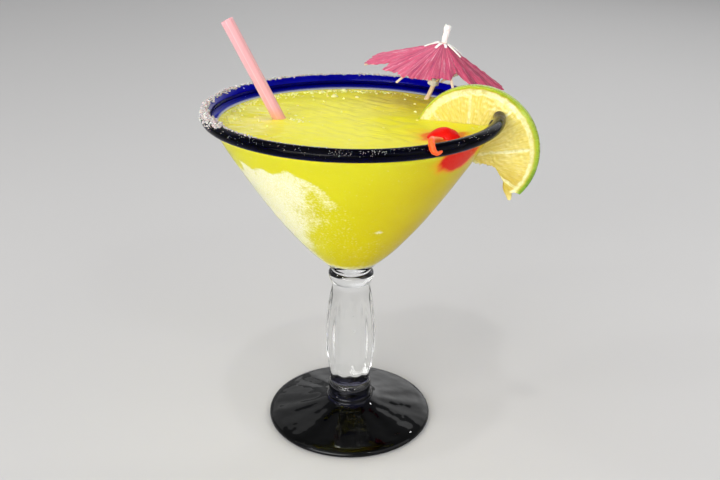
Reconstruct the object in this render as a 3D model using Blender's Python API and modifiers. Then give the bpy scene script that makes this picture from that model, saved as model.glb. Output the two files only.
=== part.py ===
"""A margarita in a hand-blown glass with a cobalt rim and foot.

The glass stands on the plane z = 0 with its axis on Z. The drink fills the bowl to just
under the rim. A straw, a cherry with its stem, half a wheel of lime pushed over the rim
and a paper umbrella stand in it, and coarse salt is caught on the rim.
Lengths are metres and angles are degrees unless a name says otherwise.
"""

import math
import random

import bmesh
import bpy
import numpy as np
from mathutils import Matrix, Vector

# Clearance between pieces that touch
GAP = 0.0003

# Foot: a cobalt disc that rises in a shallow cone to a boss under the stem
FOOT_RADIUS = 0.03826
FOOT_EDGE = 0.0024
BOSS_RADIUS = 0.0098
BOSS_TOP = 0.0123
FOOT_STEPS = 48

# Stem: clear glass with a ring at each end and a fluted bulge between
STEM_FOOT = BOSS_TOP + GAP
STEM_TOP = 0.0755
STEM_WIDEST = 0.0115
RING_RADIUS = 0.00995
COLLAR_RADIUS = 0.0102
FLUTES = 10
FLUTE_DEPTH = 0.0006
FLUTE_ENDS = (0.0215, 0.0655)
STEM_STEPS = 40

# Bowl: a blown cone whose side bulges a little
BOWL_FOOT = STEM_TOP + GAP
BOWL_FOOT_RADIUS = 0.0080
BOWL_FLOOR = 0.0788
FLOOR_RADIUS = 0.0058
WALL = 0.0020
BOWL_SIDE = (
    (0.0800, 0.0122),
    (0.0860, 0.0185),
    (0.0940, 0.0256),
    (0.1040, 0.0334),
    (0.1160, 0.0417),
    (0.1300, 0.0507),
    (0.1480, 0.0610),
)
BOWL_STEPS = 56
SIDE_SPAN = (0.0792, 0.1440)
SIDE_ROWS = 7

# Rim: a cobalt bead round the lip
BEAD_CIRCLE = 0.0609
BEAD = 0.0026
BEAD_HEIGHT = 0.1477
BEAD_STEPS = 72
BEAD_SIDES = 10

# Salt on the rim: first and last azimuth, number of grains, and the middle and the
# spread of the angle round the bead, where 0 faces outwards and 90 faces up
SALT_SEED = 11
SALT_BANDS = (
    (150.0, 213.0, 38, 92.0, 36.0),
    (76.0, 150.0, 20, 80.0, 22.0),
    (213.0, 250.0, 12, 100.0, 22.0),
    (264.0, 290.0, 4, 55.0, 20.0),
    (337.0, 350.0, 3, 70.0, 25.0),
)
GRAIN_SIZES = (0.00085, 0.00045)
GRAIN_SINK = 0.15

# Drink, up to just under the rim
DRINK_LEVEL = 0.1435

# Straw: where it meets the drink, its top, and its lower end above the bowl's floor
STRAW_RADIUS = 0.0026
STRAW_WALL = 0.00035
STRAW_TOP = (-0.0517, 0.0020, 0.1846)
STRAW_AT_DRINK = (-0.0309, 0.0012, 0.1435)
STRAW_END = 0.0818
STRAW_SIDES = 20

# Lime: more than half of a round slice, in a plane turned towards the left
LIME_CENTRE = (0.0522, 0.0, 0.1325)
LIME_TURN = 19.0
LIME_RADIUS = 0.0275
LIME_THICKNESS = 0.0046
LIME_ARC = (-40.4, 158.0)
LIME_ARC_STEPS = 38
LIME_BEVEL = 0.0005
TORN_EDGE = (
    (0.0009, -0.0064),
    (0.0052, -0.0062),
    (0.0096, -0.0070),
    (0.0117, -0.0090),
    (0.0144, -0.0118),
    (0.0143, -0.0159),
    (0.0158, -0.0214),
    (0.0172, -0.0205),
    (0.0177, -0.0177),
)
LIME_CORE = (-0.0030, -0.0030)
SEGMENT_EDGES = (-28.0, 12.0, 51.0, 90.0, 131.0)
LAST_SEGMENT_EDGE = 165.0
PULP_RADIUS = 0.0236
PULP_DEPTH = 0.0004
MEMBRANE = 0.0006
PULP_ROUNDING = 0.0006
PULP_START = 0.0022

# Cherry, against the wall at the front right
CHERRY_CENTRE = (0.0365, -0.0220, 0.1388)
CHERRY_RADIUS = 0.0088
CHERRY_DIMPLE = 0.0012
CHERRY_GRID = (18, 11)

# Cherry stem: it leaves the cherry, passes over the rim and hooks back. The places on
# the rim are an azimuth and an angle round the bead
STALK_RADIUS = 0.0015
STALK_LIFT = 0.0011
STALK_START = (-0.17, -0.78, 0.60)
STALK_INSIDE = (0.0330, -0.0420, 0.1484)
STALK_ON_RIM = (
    (-59.5, 125.0),
    (-61.6, 95.0),
    (-63.4, 65.0),
    (-64.2, 36.0),
    (-63.6, 14.0),
    (-61.6, 2.0),
    (-59.4, 8.0),
)
# Its thickness as a share of the radius: at the cherry, over the rim and at the tip
STALK_TAPER = (0.65, 1.0, 0.45)

# Umbrella: the apex of its paper, and how far its top leans to the right
UMBRELLA_APEX = (0.0406, 0.0400, 0.1700)
UMBRELLA_LEAN = 11.5
CANOPY_RADIUS = 0.0338
CANOPY_RISE = 0.0155
CANOPY_HOLE = 0.0016
CANOPY_THICKNESS = 0.0004
CANOPY_COLUMNS = 80
CANOPY_ROWS = 3
CANOPY_SAG = 0.0012
PLEATS = 40
PLEAT_DEPTH = 0.0004
RIB_COUNT = 8
FIRST_RIB = 10.0
# How much of each rib the paper covers, from the rib at the right, anticlockwise
PAPER_REACH = (0.97, 0.95, 0.94, 0.96, 0.975, 0.89, 0.74, 0.93)
SCALLOP = 0.06
# Tears in the paper's edge: azimuth, half width and depth as a share of the radius
TEARS = ((204.0, 7.0, 0.20), (290.0, 13.0, 0.20), (62.0, 8.0, 0.10), (128.0, 6.0, 0.12))
RIB_WIDTH = 0.0014
RIB_THICKNESS = 0.0006
RIB_START = 0.0030
ARM_LENGTHS = (0.0095, 0.0050, 0.0060, 0.0048, 0.0085, 0.0065, 0.0046, 0.0100)
ARM_START = 0.0023
FINIAL_RADIUS = 0.0017
FINIAL_BOTTOM = 0.0001
FINIAL_TOP = 0.0080
STICK_RADIUS = 0.00105
# The stick under the collar: it bends along the bowl's side, under the drink too
STICK_BEND = (
    (0.0340, 0.0410, 0.1435),
    (0.0290, 0.0392, 0.1360),
    (0.0240, 0.0358, 0.1280),
    (0.0190, 0.0315, 0.1190),
)
PAPER_COLLAR_RADIUS = 0.0030
PAPER_COLLAR_TOP = -0.0166
PAPER_COLLAR_LENGTH = 0.0032
STRETCHER_ON_RIB = 0.0150
STRETCHER_WIDTH = 0.0010
STRETCHER_THICKNESS = 0.0005

# Colour, roughness and transmission of each finish
CLEAR_GLASS = ((0.95, 0.96, 0.95), 0.03, 1.0)
COBALT_GLASS = ((0.005, 0.008, 0.12), 0.05, 0.0)
MARGARITA = ((0.72, 0.70, 0.06), 0.25, 0.0)
PINK_PLASTIC = ((1.0, 0.52, 0.60), 0.30, 0.0)
LIME_FLESH = ((0.86, 0.78, 0.33), 0.35, 0.0)
CHERRY_SKIN = ((0.78, 0.01, 0.005), 0.12, 0.0)
CHERRY_STALK = ((0.95, 0.20, 0.06), 0.30, 0.0)
PINK_PAPER = ((0.66, 0.09, 0.24), 0.75, 0.0)
WHITE_PAPER = ((0.90, 0.88, 0.85), 0.80, 0.0)
PALE_WOOD = ((0.86, 0.68, 0.52), 0.60, 0.0)


def clear_scene():
    """Remove every object, so the model starts from nothing."""
    for item in list(bpy.data.objects):
        bpy.data.objects.remove(item, do_unlink=True)


def new_collection(name):
    group = bpy.data.collections.new(name)
    bpy.context.scene.collection.children.link(group)
    return group


def new_material(name, finish):
    """A Principled material from a colour, a roughness and a transmission."""
    colour, roughness, transmission = finish
    made = bpy.data.materials.new(name)
    made.use_nodes = True
    shader = made.node_tree.nodes["Principled BSDF"]
    shader.inputs["Base Color"].default_value = (*colour, 1.0)
    shader.inputs["Roughness"].default_value = roughness
    shader.inputs["Metallic"].default_value = 0.0
    shader.inputs["Transmission Weight"].default_value = transmission
    made.diffuse_color = (*colour, 1.0)
    return made


def add_object(name, data, group, material=None):
    piece = bpy.data.objects.new(name, data)
    group.objects.link(piece)
    if material:
        data.materials.append(material)
    return piece


def hide_cutter(cutter):
    cutter.hide_render = True
    cutter.display_type = "WIRE"


def shade_round(piece, angle=35.0):
    piece.data.shade_smooth()
    piece.data.set_sharp_from_angle(angle=math.radians(angle))


def mesh_from_bmesh(name, work):
    mesh = bpy.data.meshes.new(name)
    work.to_mesh(mesh)
    work.free()
    return mesh


def bake(piece, weld=0.0):
    """Replace a piece by the mesh that its modifiers or its curve make."""
    bpy.context.view_layer.update()
    seen = piece.evaluated_get(bpy.context.evaluated_depsgraph_get())
    mesh = bpy.data.meshes.new_from_object(seen)
    work = bmesh.new()
    work.from_mesh(mesh)
    if weld:
        bmesh.ops.remove_doubles(work, verts=work.verts, dist=weld)
    bmesh.ops.recalc_face_normals(work, faces=work.faces)
    work.to_mesh(mesh)
    work.free()
    name = piece.name
    groups = list(piece.users_collection)
    matrix = piece.matrix_world.copy()
    bpy.data.objects.remove(piece, do_unlink=True)
    made = bpy.data.objects.new(name, mesh)
    made.matrix_world = matrix
    for group in groups:
        group.objects.link(made)
    return made


def smooth_side(z):
    """The bowl's outer radius at height z: a cubic through BOWL_SIDE's points."""
    points = ((BOWL_FOOT, BOWL_FOOT_RADIUS), *BOWL_SIDE)
    heights = np.array([p[0] for p in points])
    radii = np.array([p[1] for p in points])
    slopes = np.gradient(radii, heights)
    k = int(np.clip(np.searchsorted(heights, z) - 1, 0, len(points) - 2))
    span = heights[k + 1] - heights[k]
    t = (z - heights[k]) / span
    rise = radii[k + 1] - radii[k]
    a = slopes[k] * span - rise
    b = rise - slopes[k + 1] * span
    return float(radii[k] + t * rise + t * (1 - t) * ((1 - t) * a + t * b))


def inside_wall(z, depth):
    """The point at right angles inwards from the outer side at height z."""
    step = 0.0002
    slope = (smooth_side(z + step) - smooth_side(z - step)) / (2 * step)
    length = math.hypot(1.0, slope)
    return smooth_side(z) - depth / length, z + depth * slope / length


def wall_meets_bead(depth, clearance):
    """The highest point, depth inside the outer side, that clears the bead."""
    best = inside_wall(BOWL_FLOOR, depth)
    for z in np.linspace(0.1350, BEAD_HEIGHT, 500):
        point = inside_wall(float(z), depth)
        if math.hypot(point[0] - BEAD_CIRCLE, point[1] - BEAD_HEIGHT) < BEAD + clearance:
            break
        best = point
    return best


def side_rows(depth):
    """Points up the bowl's side, depth inside it, at the same heights for any depth."""
    return [inside_wall(float(z), depth) for z in np.linspace(*SIDE_SPAN, SIDE_ROWS)]


def side_up_to(depth, level):
    """The side's rows below a level, and the point where their line reaches it."""
    rows = side_rows(depth)
    below = [row for row in rows if row[1] < level]
    last = below[-1]
    after = rows[len(below)]
    share = (level - last[1]) / (after[1] - last[1])
    return [*below, (last[0] + share * (after[0] - last[0]), level)]


def screw_piece(name, profile, steps, group, material=None, closed=False):
    """A turned piece: a profile in the XZ plane with a Screw modifier.

    The profile runs down its outer side. A closed one goes up its inner side first.
    """
    mesh = bpy.data.meshes.new(name)
    count = len(profile)
    edges = [(k, k + 1) for k in range(count - 1)]
    if closed:
        edges.append((count - 1, 0))
    mesh.from_pydata([(r, 0.0, z) for r, z in profile], edges, [])
    piece = add_object(name, mesh, group, material)
    screw = piece.modifiers.new("Turned", "SCREW")
    screw.axis = "Z"
    screw.angle = math.tau
    screw.steps = steps
    screw.render_steps = steps
    screw.use_merge_vertices = True
    screw.merge_threshold = 0.00001
    screw.use_smooth_shade = True
    return piece


def cut(piece, cutter):
    boolean = piece.modifiers.new(cutter.name, "BOOLEAN")
    boolean.operation = "DIFFERENCE"
    boolean.object = cutter
    boolean.solver = "EXACT"


def keep_largest(piece):
    """Drop loose scraps, and the shells of sealed hollows, from a joined mesh."""
    work = bmesh.new()
    work.from_mesh(piece.data)
    waiting = set(work.faces)
    islands = []
    while waiting:
        front = [waiting.pop()]
        island = list(front)
        while front:
            face = front.pop()
            for edge in face.edges:
                for other in edge.link_faces:
                    if other in waiting:
                        waiting.remove(other)
                        front.append(other)
                        island.append(other)
        islands.append(island)
    islands.sort(key=len, reverse=True)
    for island in islands[1:]:
        bmesh.ops.delete(work, geom=island, context="FACES")
    work.to_mesh(piece.data)
    work.free()


def build_foot(group, material):
    profile = [
        (0.0, BOSS_TOP),
        (BOSS_RADIUS - 0.0002, BOSS_TOP),
        (BOSS_RADIUS + 0.0006, 0.0098),
        (0.0132, 0.0081),
        (0.0185, 0.0066),
        (0.0260, 0.0051),
        (0.0330, 0.0039),
        (FOOT_RADIUS - 0.0014, FOOT_EDGE + 0.0005),
        (FOOT_RADIUS - 0.0003, FOOT_EDGE - 0.0005),
        (FOOT_RADIUS, FOOT_EDGE / 2),
        (FOOT_RADIUS - 0.0012, 0.0),
        (0.0, 0.0),
    ]
    return screw_piece("foot", profile, FOOT_STEPS, group, material)


def flute_strength(z):
    """How deep the flutes are at height z: none at the rings, full in the middle."""
    low, high = FLUTE_ENDS
    t = np.clip((z - low) / (high - low), 0.0, 1.0)
    return np.sin(math.pi * t) ** 0.6


def build_stem(group, material):
    profile = [
        (0.0, STEM_TOP),
        (COLLAR_RADIUS - 0.0009, STEM_TOP),
        (COLLAR_RADIUS - 0.0002, STEM_TOP - 0.0008),
        (COLLAR_RADIUS, 0.0725),
        (0.0090, 0.0697),
        (0.0087, 0.0680),
        (0.0093, 0.0640),
        (0.0106, 0.0560),
        (STEM_WIDEST, 0.0460),
        (STEM_WIDEST, 0.0400),
        (0.0112, 0.0340),
        (0.0104, 0.0280),
        (0.0096, 0.0225),
        (0.0090, 0.0182),
        (RING_RADIUS - 0.0005, 0.0176),
        (RING_RADIUS, 0.0164),
        (RING_RADIUS, 0.0142),
        (RING_RADIUS - 0.0006, STEM_FOOT),
        (0.0, STEM_FOOT),
    ]
    piece = screw_piece("stem", profile, STEM_STEPS, group)
    piece = bake(piece)
    count = len(piece.data.vertices)
    points = np.empty(count * 3)
    piece.data.vertices.foreach_get("co", points)
    points = points.reshape(count, 3)
    around = np.arctan2(points[:, 1], points[:, 0])
    wave = 0.5 - 0.5 * np.cos(FLUTES * around)
    radius = np.hypot(points[:, 0], points[:, 1])
    shrink = 1 - FLUTE_DEPTH * wave * flute_strength(points[:, 2]) / np.maximum(radius, 0.001)
    points[:, :2] *= shrink[:, None]
    piece.data.vertices.foreach_set("co", points.ravel())
    piece.data.materials.append(material)
    return piece


def build_bowl(group, material):
    inner_top = wall_meets_bead(WALL, GAP)
    outer_top = wall_meets_bead(0.0, GAP)
    middle_top = wall_meets_bead(WALL / 2, GAP)
    profile = [(0.0, BOWL_FLOOR), (FLOOR_RADIUS, BOWL_FLOOR + 0.0002)]
    profile += side_rows(WALL)
    profile += [inner_top, middle_top, outer_top]
    profile += reversed(side_rows(0.0))
    profile += [(BOWL_FOOT_RADIUS, BOWL_FOOT + 0.0003)]
    profile += [(BOWL_FOOT_RADIUS - 0.0004, BOWL_FOOT), (0.0, BOWL_FOOT)]
    return screw_piece("bowl", profile, BOWL_STEPS, group, material)


def rim_point(azimuth, around, radius):
    """A point at a distance from the bead's centre line, in degrees round it."""
    a = math.radians(azimuth)
    b = math.radians(around)
    r = BEAD_CIRCLE + radius * math.cos(b)
    return Vector((r * math.cos(a), r * math.sin(a), BEAD_HEIGHT + radius * math.sin(b)))


def build_grain(name, centre, size, rng, group):
    """A salt crystal: a low icosphere, stretched and turned by the seeded draw."""
    work = bmesh.new()
    bmesh.ops.create_icosphere(work, subdivisions=1, radius=size)
    stretch = Matrix.Diagonal([rng.uniform(0.8, 1.25) for _ in range(3)]).to_4x4()
    turn = Matrix.Rotation(rng.uniform(0, math.tau), 4, Vector((rng.random(), rng.random(), 1)))
    work.transform(Matrix.Translation(centre) @ turn @ stretch)
    return add_object(name, mesh_from_bmesh(name, work), group)


def build_rim(group, material):
    bpy.ops.mesh.primitive_torus_add(
        major_segments=BEAD_STEPS,
        minor_segments=BEAD_SIDES,
        major_radius=BEAD_CIRCLE,
        minor_radius=BEAD,
        location=(0.0, 0.0, BEAD_HEIGHT),
    )
    rim = bpy.context.object
    rim.name = "rim"
    rim.data.name = "rim"
    for owner in list(rim.users_collection):
        owner.objects.unlink(rim)
    group.objects.link(rim)

    rng = random.Random(SALT_SEED)
    salt = new_collection("salt_grains")
    largest, smallest = GRAIN_SIZES
    for first, last, count, middle, spread in SALT_BANDS:
        for k in range(count):
            share = (k + rng.uniform(0.1, 0.9)) / count
            size = largest + (smallest - largest) * rng.random() ** 1.5
            around = middle + rng.uniform(-spread, spread)
            centre = rim_point(first + share * (last - first), around, BEAD + GRAIN_SINK * size)
            build_grain("grain", centre, size, rng, salt)
    union = rim.modifiers.new("Salt", "BOOLEAN")
    union.operation = "UNION"
    union.operand_type = "COLLECTION"
    union.collection = salt
    union.solver = "EXACT"
    rim = bake(rim)
    for grain in list(salt.objects):
        bpy.data.objects.remove(grain, do_unlink=True)
    bpy.data.collections.remove(salt)
    keep_largest(rim)
    rim.data.materials.append(material)
    return rim


def lime_matrix():
    """The slice's frame: X along the slice, Y up and Z out of its face."""
    turn = math.radians(LIME_TURN)
    along = Vector((math.cos(turn), -math.sin(turn), 0.0))
    upwards = Vector((0.0, 0.0, 1.0))
    face = along.cross(upwards)
    frame = Matrix((along, upwards, face)).transposed().to_4x4()
    frame.translation = Vector(LIME_CENTRE)
    return frame


def arc_points(radius, first, last, steps):
    angles = np.radians(np.linspace(first, last, steps))
    return [(radius * math.cos(a), radius * math.sin(a)) for a in angles]


def lime_outline(grow):
    """The slice's outline: the rind's arc, the cut across and the torn edge."""
    arc = arc_points(LIME_RADIUS + grow, *LIME_ARC, LIME_ARC_STEPS)
    across = Vector(arc[-1]) - Vector(arc[0])
    outwards = Vector((-across.y, across.x)).normalized() * grow
    torn = [tuple(Vector(point) + outwards) for point in TORN_EDGE]
    return [*arc, *torn]


def flat_piece(name, outline, half_thickness, bevel, group):
    """A flat outline as a closed 2D curve, with thickness and a small bevel."""
    curve = bpy.data.curves.new(name, "CURVE")
    curve.dimensions = "2D"
    curve.fill_mode = "BOTH"
    curve.extrude = half_thickness - bevel
    curve.bevel_depth = bevel
    curve.bevel_resolution = 0
    curve.offset = -bevel
    spline = curve.splines.new("POLY")
    spline.points.add(len(outline) - 1)
    for point, (x, y) in zip(spline.points, outline):
        point.co = (x, y, 0.0, 1.0)
    spline.use_cyclic_u = True
    piece = add_object(name, curve, group)
    return bake(piece, weld=0.00001)


def segment_outline(first, last):
    """One segment's pulp: two straight sides to the core and an arc at the pith."""
    core = Vector(LIME_CORE)
    middle = math.radians((first + last) / 2)
    tip = core + Vector((math.cos(middle), math.sin(middle))) * PULP_START
    points = [tuple(tip)]
    for share in np.linspace(0.0, 1.0, 6):
        angle = math.radians(first + share * (last - first))
        ray = Vector((math.cos(angle), math.sin(angle)))
        along = core.dot(ray)
        reach = -along + math.sqrt(along * along - core.length_squared + PULP_RADIUS**2)
        side = Vector((-ray.y, ray.x)) * MEMBRANE * (1 - 2 * share)
        points.append(tuple(core + ray * (reach - PULP_ROUNDING * abs(1 - 2 * share)) + side))
    return points


def rim_clearance(name, group):
    """The bowl's wall and the bead, grown by the gap: it cuts the slot in the lime."""
    grown = (BEAD + GAP) / math.cos(math.pi / BEAD_SIDES)
    inner = side_rows(WALL + GAP)[2:]
    outer = side_rows(-GAP)[2:]
    inner_top = wall_meets_bead(WALL + GAP, GAP)
    outer_top = wall_meets_bead(-GAP, GAP)
    start = math.atan2(inner_top[1] - BEAD_HEIGHT, inner_top[0] - BEAD_CIRCLE) % math.tau
    end = math.atan2(outer_top[1] - BEAD_HEIGHT, outer_top[0] - BEAD_CIRCLE)
    profile = list(inner)
    for angle in np.linspace(start, end, 15):
        r = BEAD_CIRCLE + grown * math.cos(angle)
        profile.append((r, BEAD_HEIGHT + grown * math.sin(angle)))
    profile += reversed(outer)
    return screw_piece(name, profile, BEAD_STEPS, group, closed=True)


def build_lime(group, cutters, material):
    frame = lime_matrix()
    half = LIME_THICKNESS / 2
    slice_piece = flat_piece("lime_slice", lime_outline(0.0), half, LIME_BEVEL, group)
    edges = (*SEGMENT_EDGES, LAST_SEGMENT_EDGE)
    for k in range(len(edges) - 1):
        outline = segment_outline(edges[k], edges[k + 1])
        for side in (-1, 1):
            cutter = flat_piece(f"pulp_{k}_{side + 1}", outline, half, 0.0, cutters)
            cutter.location.z = side * (2 * half - PULP_DEPTH)
            hide_cutter(cutter)
            cut(slice_piece, cutter)
    slice_piece = bake(slice_piece, weld=0.00001)
    slice_piece.matrix_world = frame
    slot = bake(rim_clearance("rim_clearance", cutters))
    hide_cutter(slot)
    cut(slice_piece, slot)
    slice_piece = bake(slice_piece, weld=0.00001)
    keep_largest(slice_piece)
    slice_piece.data.materials.append(material)
    return slice_piece


def lime_room(cutters):
    """What the slice takes out of the drink: its outline grown by the gap."""
    half = LIME_THICKNESS / 2 + GAP
    room = flat_piece("lime_room", lime_outline(GAP), half, 0.0, cutters)
    room.matrix_world = lime_matrix()
    hide_cutter(room)
    return room


def cherry_mesh(name, grow):
    """A ball with a dimple at the top, where the stem comes out."""
    segments, rings = CHERRY_GRID
    work = bmesh.new()
    bmesh.ops.create_uvsphere(
        work, u_segments=segments, v_segments=rings, radius=CHERRY_RADIUS + grow
    )
    axis = Vector(STALK_START).normalized()
    for vert in work.verts:
        toward = max(0.0, vert.co.normalized().dot(axis))
        vert.co -= axis * (CHERRY_DIMPLE * toward**24)
    return mesh_from_bmesh(name, work)


def build_cherry(group, material):
    piece = add_object("cherry", cherry_mesh("cherry", 0.0), group, material)
    piece.location = CHERRY_CENTRE
    shade_round(piece)
    return piece


def cherry_room(cutters):
    room = add_object("cherry_room", cherry_mesh("cherry_room", GAP), cutters)
    room.location = CHERRY_CENTRE
    hide_cutter(room)
    return room


def smooth_path(points, per_span):
    """A Catmull-Rom curve through the points."""
    knots = [Vector(p) for p in points]
    knots = [2 * knots[0] - knots[1], *knots, 2 * knots[-1] - knots[-2]]
    path = []
    for k in range(1, len(knots) - 2):
        a, b, c, d = knots[k - 1 : k + 3]
        for j in range(per_span):
            t = j / per_span
            path.append(
                0.5
                * (
                    2 * b
                    + (c - a) * t
                    + (2 * a - 5 * b + 4 * c - d) * t * t
                    + (3 * b - 3 * c + d - a) * t * t * t
                )
            )
    path.append(knots[-2])
    return path


def tube(name, path, radius, group, material=None, taper=None, resolution=2):
    """A round rod along a path, as a POLY curve with filled caps, made a mesh."""
    curve = bpy.data.curves.new(name, "CURVE")
    curve.dimensions = "3D"
    curve.bevel_depth = radius
    curve.bevel_resolution = resolution
    curve.use_fill_caps = True
    spline = curve.splines.new("POLY")
    spline.points.add(len(path) - 1)
    for k, point in enumerate(path):
        spline.points[k].co = (*point, 1.0)
        spline.points[k].radius = taper(k / (len(path) - 1)) if taper else 1.0
    piece = bake(add_object(name, curve, group), weld=0.00001)
    if material:
        piece.data.materials.append(material)
    return piece


def build_cherry_stem(group, material):
    start = Vector(STALK_START).normalized()
    first = Vector(CHERRY_CENTRE) + start * (CHERRY_RADIUS + GAP + STALK_LIFT)
    lift = BEAD + GAP + STALK_RADIUS * 1.06
    over = [rim_point(azimuth, around, lift) for azimuth, around in STALK_ON_RIM]
    path = smooth_path([first, Vector(STALK_INSIDE), *over], 2)
    root, middle, tip = STALK_TAPER

    def taper(t):
        if t < 0.3:
            return root + (middle - root) * t / 0.3
        return middle + (tip - middle) * max(0.0, t - 0.7) / 0.3

    return tube("cherry_stem", path, STALK_RADIUS, group, material, taper, 2)


def straw_points():
    top, middle = Vector(STRAW_TOP), Vector(STRAW_AT_DRINK)
    along = (middle - top) / (top.z - middle.z)
    return top, top + along * (top.z - STRAW_END)


def aim(piece, start, end):
    """Lay a piece that is built along Z from start to end."""
    piece.location = start
    piece.rotation_euler = (end - start).to_track_quat("Z", "Y").to_euler()


def build_straw(group, material):
    top, end = straw_points()
    length = (end - top).length
    inner = STRAW_RADIUS - STRAW_WALL
    profile = [(inner, 0.0), (inner, length), (STRAW_RADIUS, length), (STRAW_RADIUS, 0.0)]
    piece = screw_piece("straw", profile, STRAW_SIDES, group, material, closed=True)
    aim(piece, top, end)
    return piece


def straw_room(cutters):
    """What the straw takes out of the drink, from above its level to its end."""
    top, end = straw_points()
    along = (end - top).normalized()
    radius = STRAW_RADIUS + GAP
    length = (end - top).length + GAP
    profile = [(0.0, length), (radius, length), (radius, 0.0), (0.0, 0.0)]
    room = screw_piece("straw_room", profile, STRAW_SIDES, cutters)
    aim(room, top, top + along)
    hide_cutter(room)
    return room


def umbrella_matrix():
    lean = Matrix.Rotation(math.radians(UMBRELLA_LEAN), 4, "Y")
    return Matrix.Translation(Vector(UMBRELLA_APEX)) @ lean


def paper_reach(angle):
    """The paper's edge at an azimuth, as a share of the canopy's radius."""
    turn = (angle - FIRST_RIB) / (360.0 / RIB_COUNT)
    k = math.floor(turn)
    t = turn - k
    low = PAPER_REACH[k % RIB_COUNT]
    high = PAPER_REACH[(k + 1) % RIB_COUNT]
    blend = 0.5 - 0.5 * math.cos(math.pi * t)
    reach = low + (high - low) * blend - SCALLOP * math.sin(math.pi * t)
    for middle, width, depth in TEARS:
        away = abs((angle - middle + 180.0) % 360.0 - 180.0) / width
        reach -= depth * max(0.0, 1.0 - away)
    return reach


def canopy_height(share, angle):
    """Height of the paper: a shallow cone, sagging between the ribs, with pleats."""
    turn = (angle - FIRST_RIB) / (360.0 / RIB_COUNT)
    sag = CANOPY_SAG * math.sin(math.pi * (turn % 1.0)) ** 2
    pleat = PLEAT_DEPTH * (0.5 - 0.5 * math.cos(math.radians(PLEATS * (angle - FIRST_RIB))))
    return -CANOPY_RISE * share - (sag + pleat) * share


def build_canopy(group, material, frame):
    """The paper: two faces on one grid of azimuth and radius, split alike."""
    hole = CANOPY_HOLE / CANOPY_RADIUS
    verts, faces = [], []
    for side in (0.5, -0.5):
        for row in range(CANOPY_ROWS + 1):
            for column in range(CANOPY_COLUMNS):
                angle = FIRST_RIB + 360.0 * column / CANOPY_COLUMNS
                reach = paper_reach(angle)
                share = hole + (reach - hole) * row / CANOPY_ROWS
                r = share * CANOPY_RADIUS
                a = math.radians(angle)
                z = canopy_height(share, angle) + side * CANOPY_THICKNESS
                verts.append((r * math.cos(a), r * math.sin(a), z))
    layer = (CANOPY_ROWS + 1) * CANOPY_COLUMNS

    def vertex(side, row, column):
        return side * layer + row * CANOPY_COLUMNS + column % CANOPY_COLUMNS

    for column in range(CANOPY_COLUMNS):
        for row in range(CANOPY_ROWS):
            for side in (0, 1):
                a = vertex(side, row, column)
                b = vertex(side, row + 1, column)
                c = vertex(side, row + 1, column + 1)
                d = vertex(side, row, column + 1)
                for triangle in ((a, b, c), (a, c, d)):
                    faces.append(triangle if side == 0 else triangle[::-1])
        for row, flip in ((0, False), (CANOPY_ROWS, True)):
            a, b = vertex(0, row, column), vertex(0, row, column + 1)
            c, d = vertex(1, row, column + 1), vertex(1, row, column)
            for triangle in ((a, b, c), (a, c, d)):
                faces.append(triangle[::-1] if flip else triangle)
    mesh = bpy.data.meshes.new("umbrella_canopy")
    mesh.from_pydata(verts, [], faces)
    piece = add_object("umbrella_canopy", mesh, group, material)
    piece.matrix_world = frame
    return piece


def strip(name, start, end, width, thickness, group, material, frame):
    """A flat strip between two points of the umbrella's own frame."""
    along = (end - start).normalized()
    across = Vector((0.0, 0.0, 1.0)).cross(along).normalized()
    upwards = along.cross(across)
    turn = Matrix((along, across, upwards)).transposed().to_4x4()
    turn.translation = (start + end) / 2
    work = bmesh.new()
    bmesh.ops.create_cube(work, size=1.0)
    size = ((end - start).length, width, thickness)
    bmesh.ops.scale(work, vec=size, verts=work.verts)
    piece = add_object(name, mesh_from_bmesh(name, work), group, material)
    piece.matrix_world = frame @ turn
    return piece


def on_cone(radius, azimuth, lift):
    """A point over the straight cone of the canopy, in the umbrella's frame."""
    a = math.radians(azimuth)
    z = -CANOPY_RISE * radius / CANOPY_RADIUS + lift
    return Vector((radius * math.cos(a), radius * math.sin(a), z))


def build_frame_strips(group, wood, paper, frame):
    """Ribs under the paper, their bare ends over it, and stretchers to the collar."""
    under = -(CANOPY_THICKNESS / 2 + GAP + PLEAT_DEPTH / 2 + RIB_THICKNESS / 2)
    over = CANOPY_THICKNESS / 2 + GAP + RIB_THICKNESS / 2
    brace = under - RIB_THICKNESS / 2 - GAP - STRETCHER_THICKNESS
    foot_height = PAPER_COLLAR_TOP - PAPER_COLLAR_LENGTH * 0.3
    for k in range(RIB_COUNT):
        angle = FIRST_RIB + 360.0 * k / RIB_COUNT
        start = on_cone(RIB_START, angle, under)
        end = on_cone(CANOPY_RADIUS, angle, under)
        strip(f"umbrella_rib_{k + 1}", start, end, RIB_WIDTH, RIB_THICKNESS, group, wood, frame)
        start = on_cone(ARM_START, angle, over)
        end = on_cone(ARM_LENGTHS[k], angle, over)
        strip(f"umbrella_arm_{k + 1}", start, end, RIB_WIDTH, RIB_THICKNESS, group, paper, frame)
        a = math.radians(angle)
        foot = PAPER_COLLAR_RADIUS + GAP + STRETCHER_THICKNESS
        start = Vector((foot * math.cos(a), foot * math.sin(a), foot_height))
        end = on_cone(STRETCHER_ON_RIB, angle, brace)
        name = f"umbrella_stretcher_{k + 1}"
        strip(name, start, end, STRETCHER_WIDTH, STRETCHER_THICKNESS, group, wood, frame)


def build_finial(group, material, frame):
    r = FINIAL_RADIUS
    profile = [
        (0.0, FINIAL_TOP),
        (r * 0.55, FINIAL_TOP - 0.0001),
        (r * 0.95, FINIAL_TOP - 0.0008),
        (r, FINIAL_TOP - 0.0022),
        (r * 0.90, FINIAL_BOTTOM + 0.0020),
        (r * 0.85, FINIAL_BOTTOM),
        (0.0, FINIAL_BOTTOM),
    ]
    piece = screw_piece("umbrella_finial", profile, 16, group, material)
    piece.matrix_world = frame
    return piece


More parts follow.
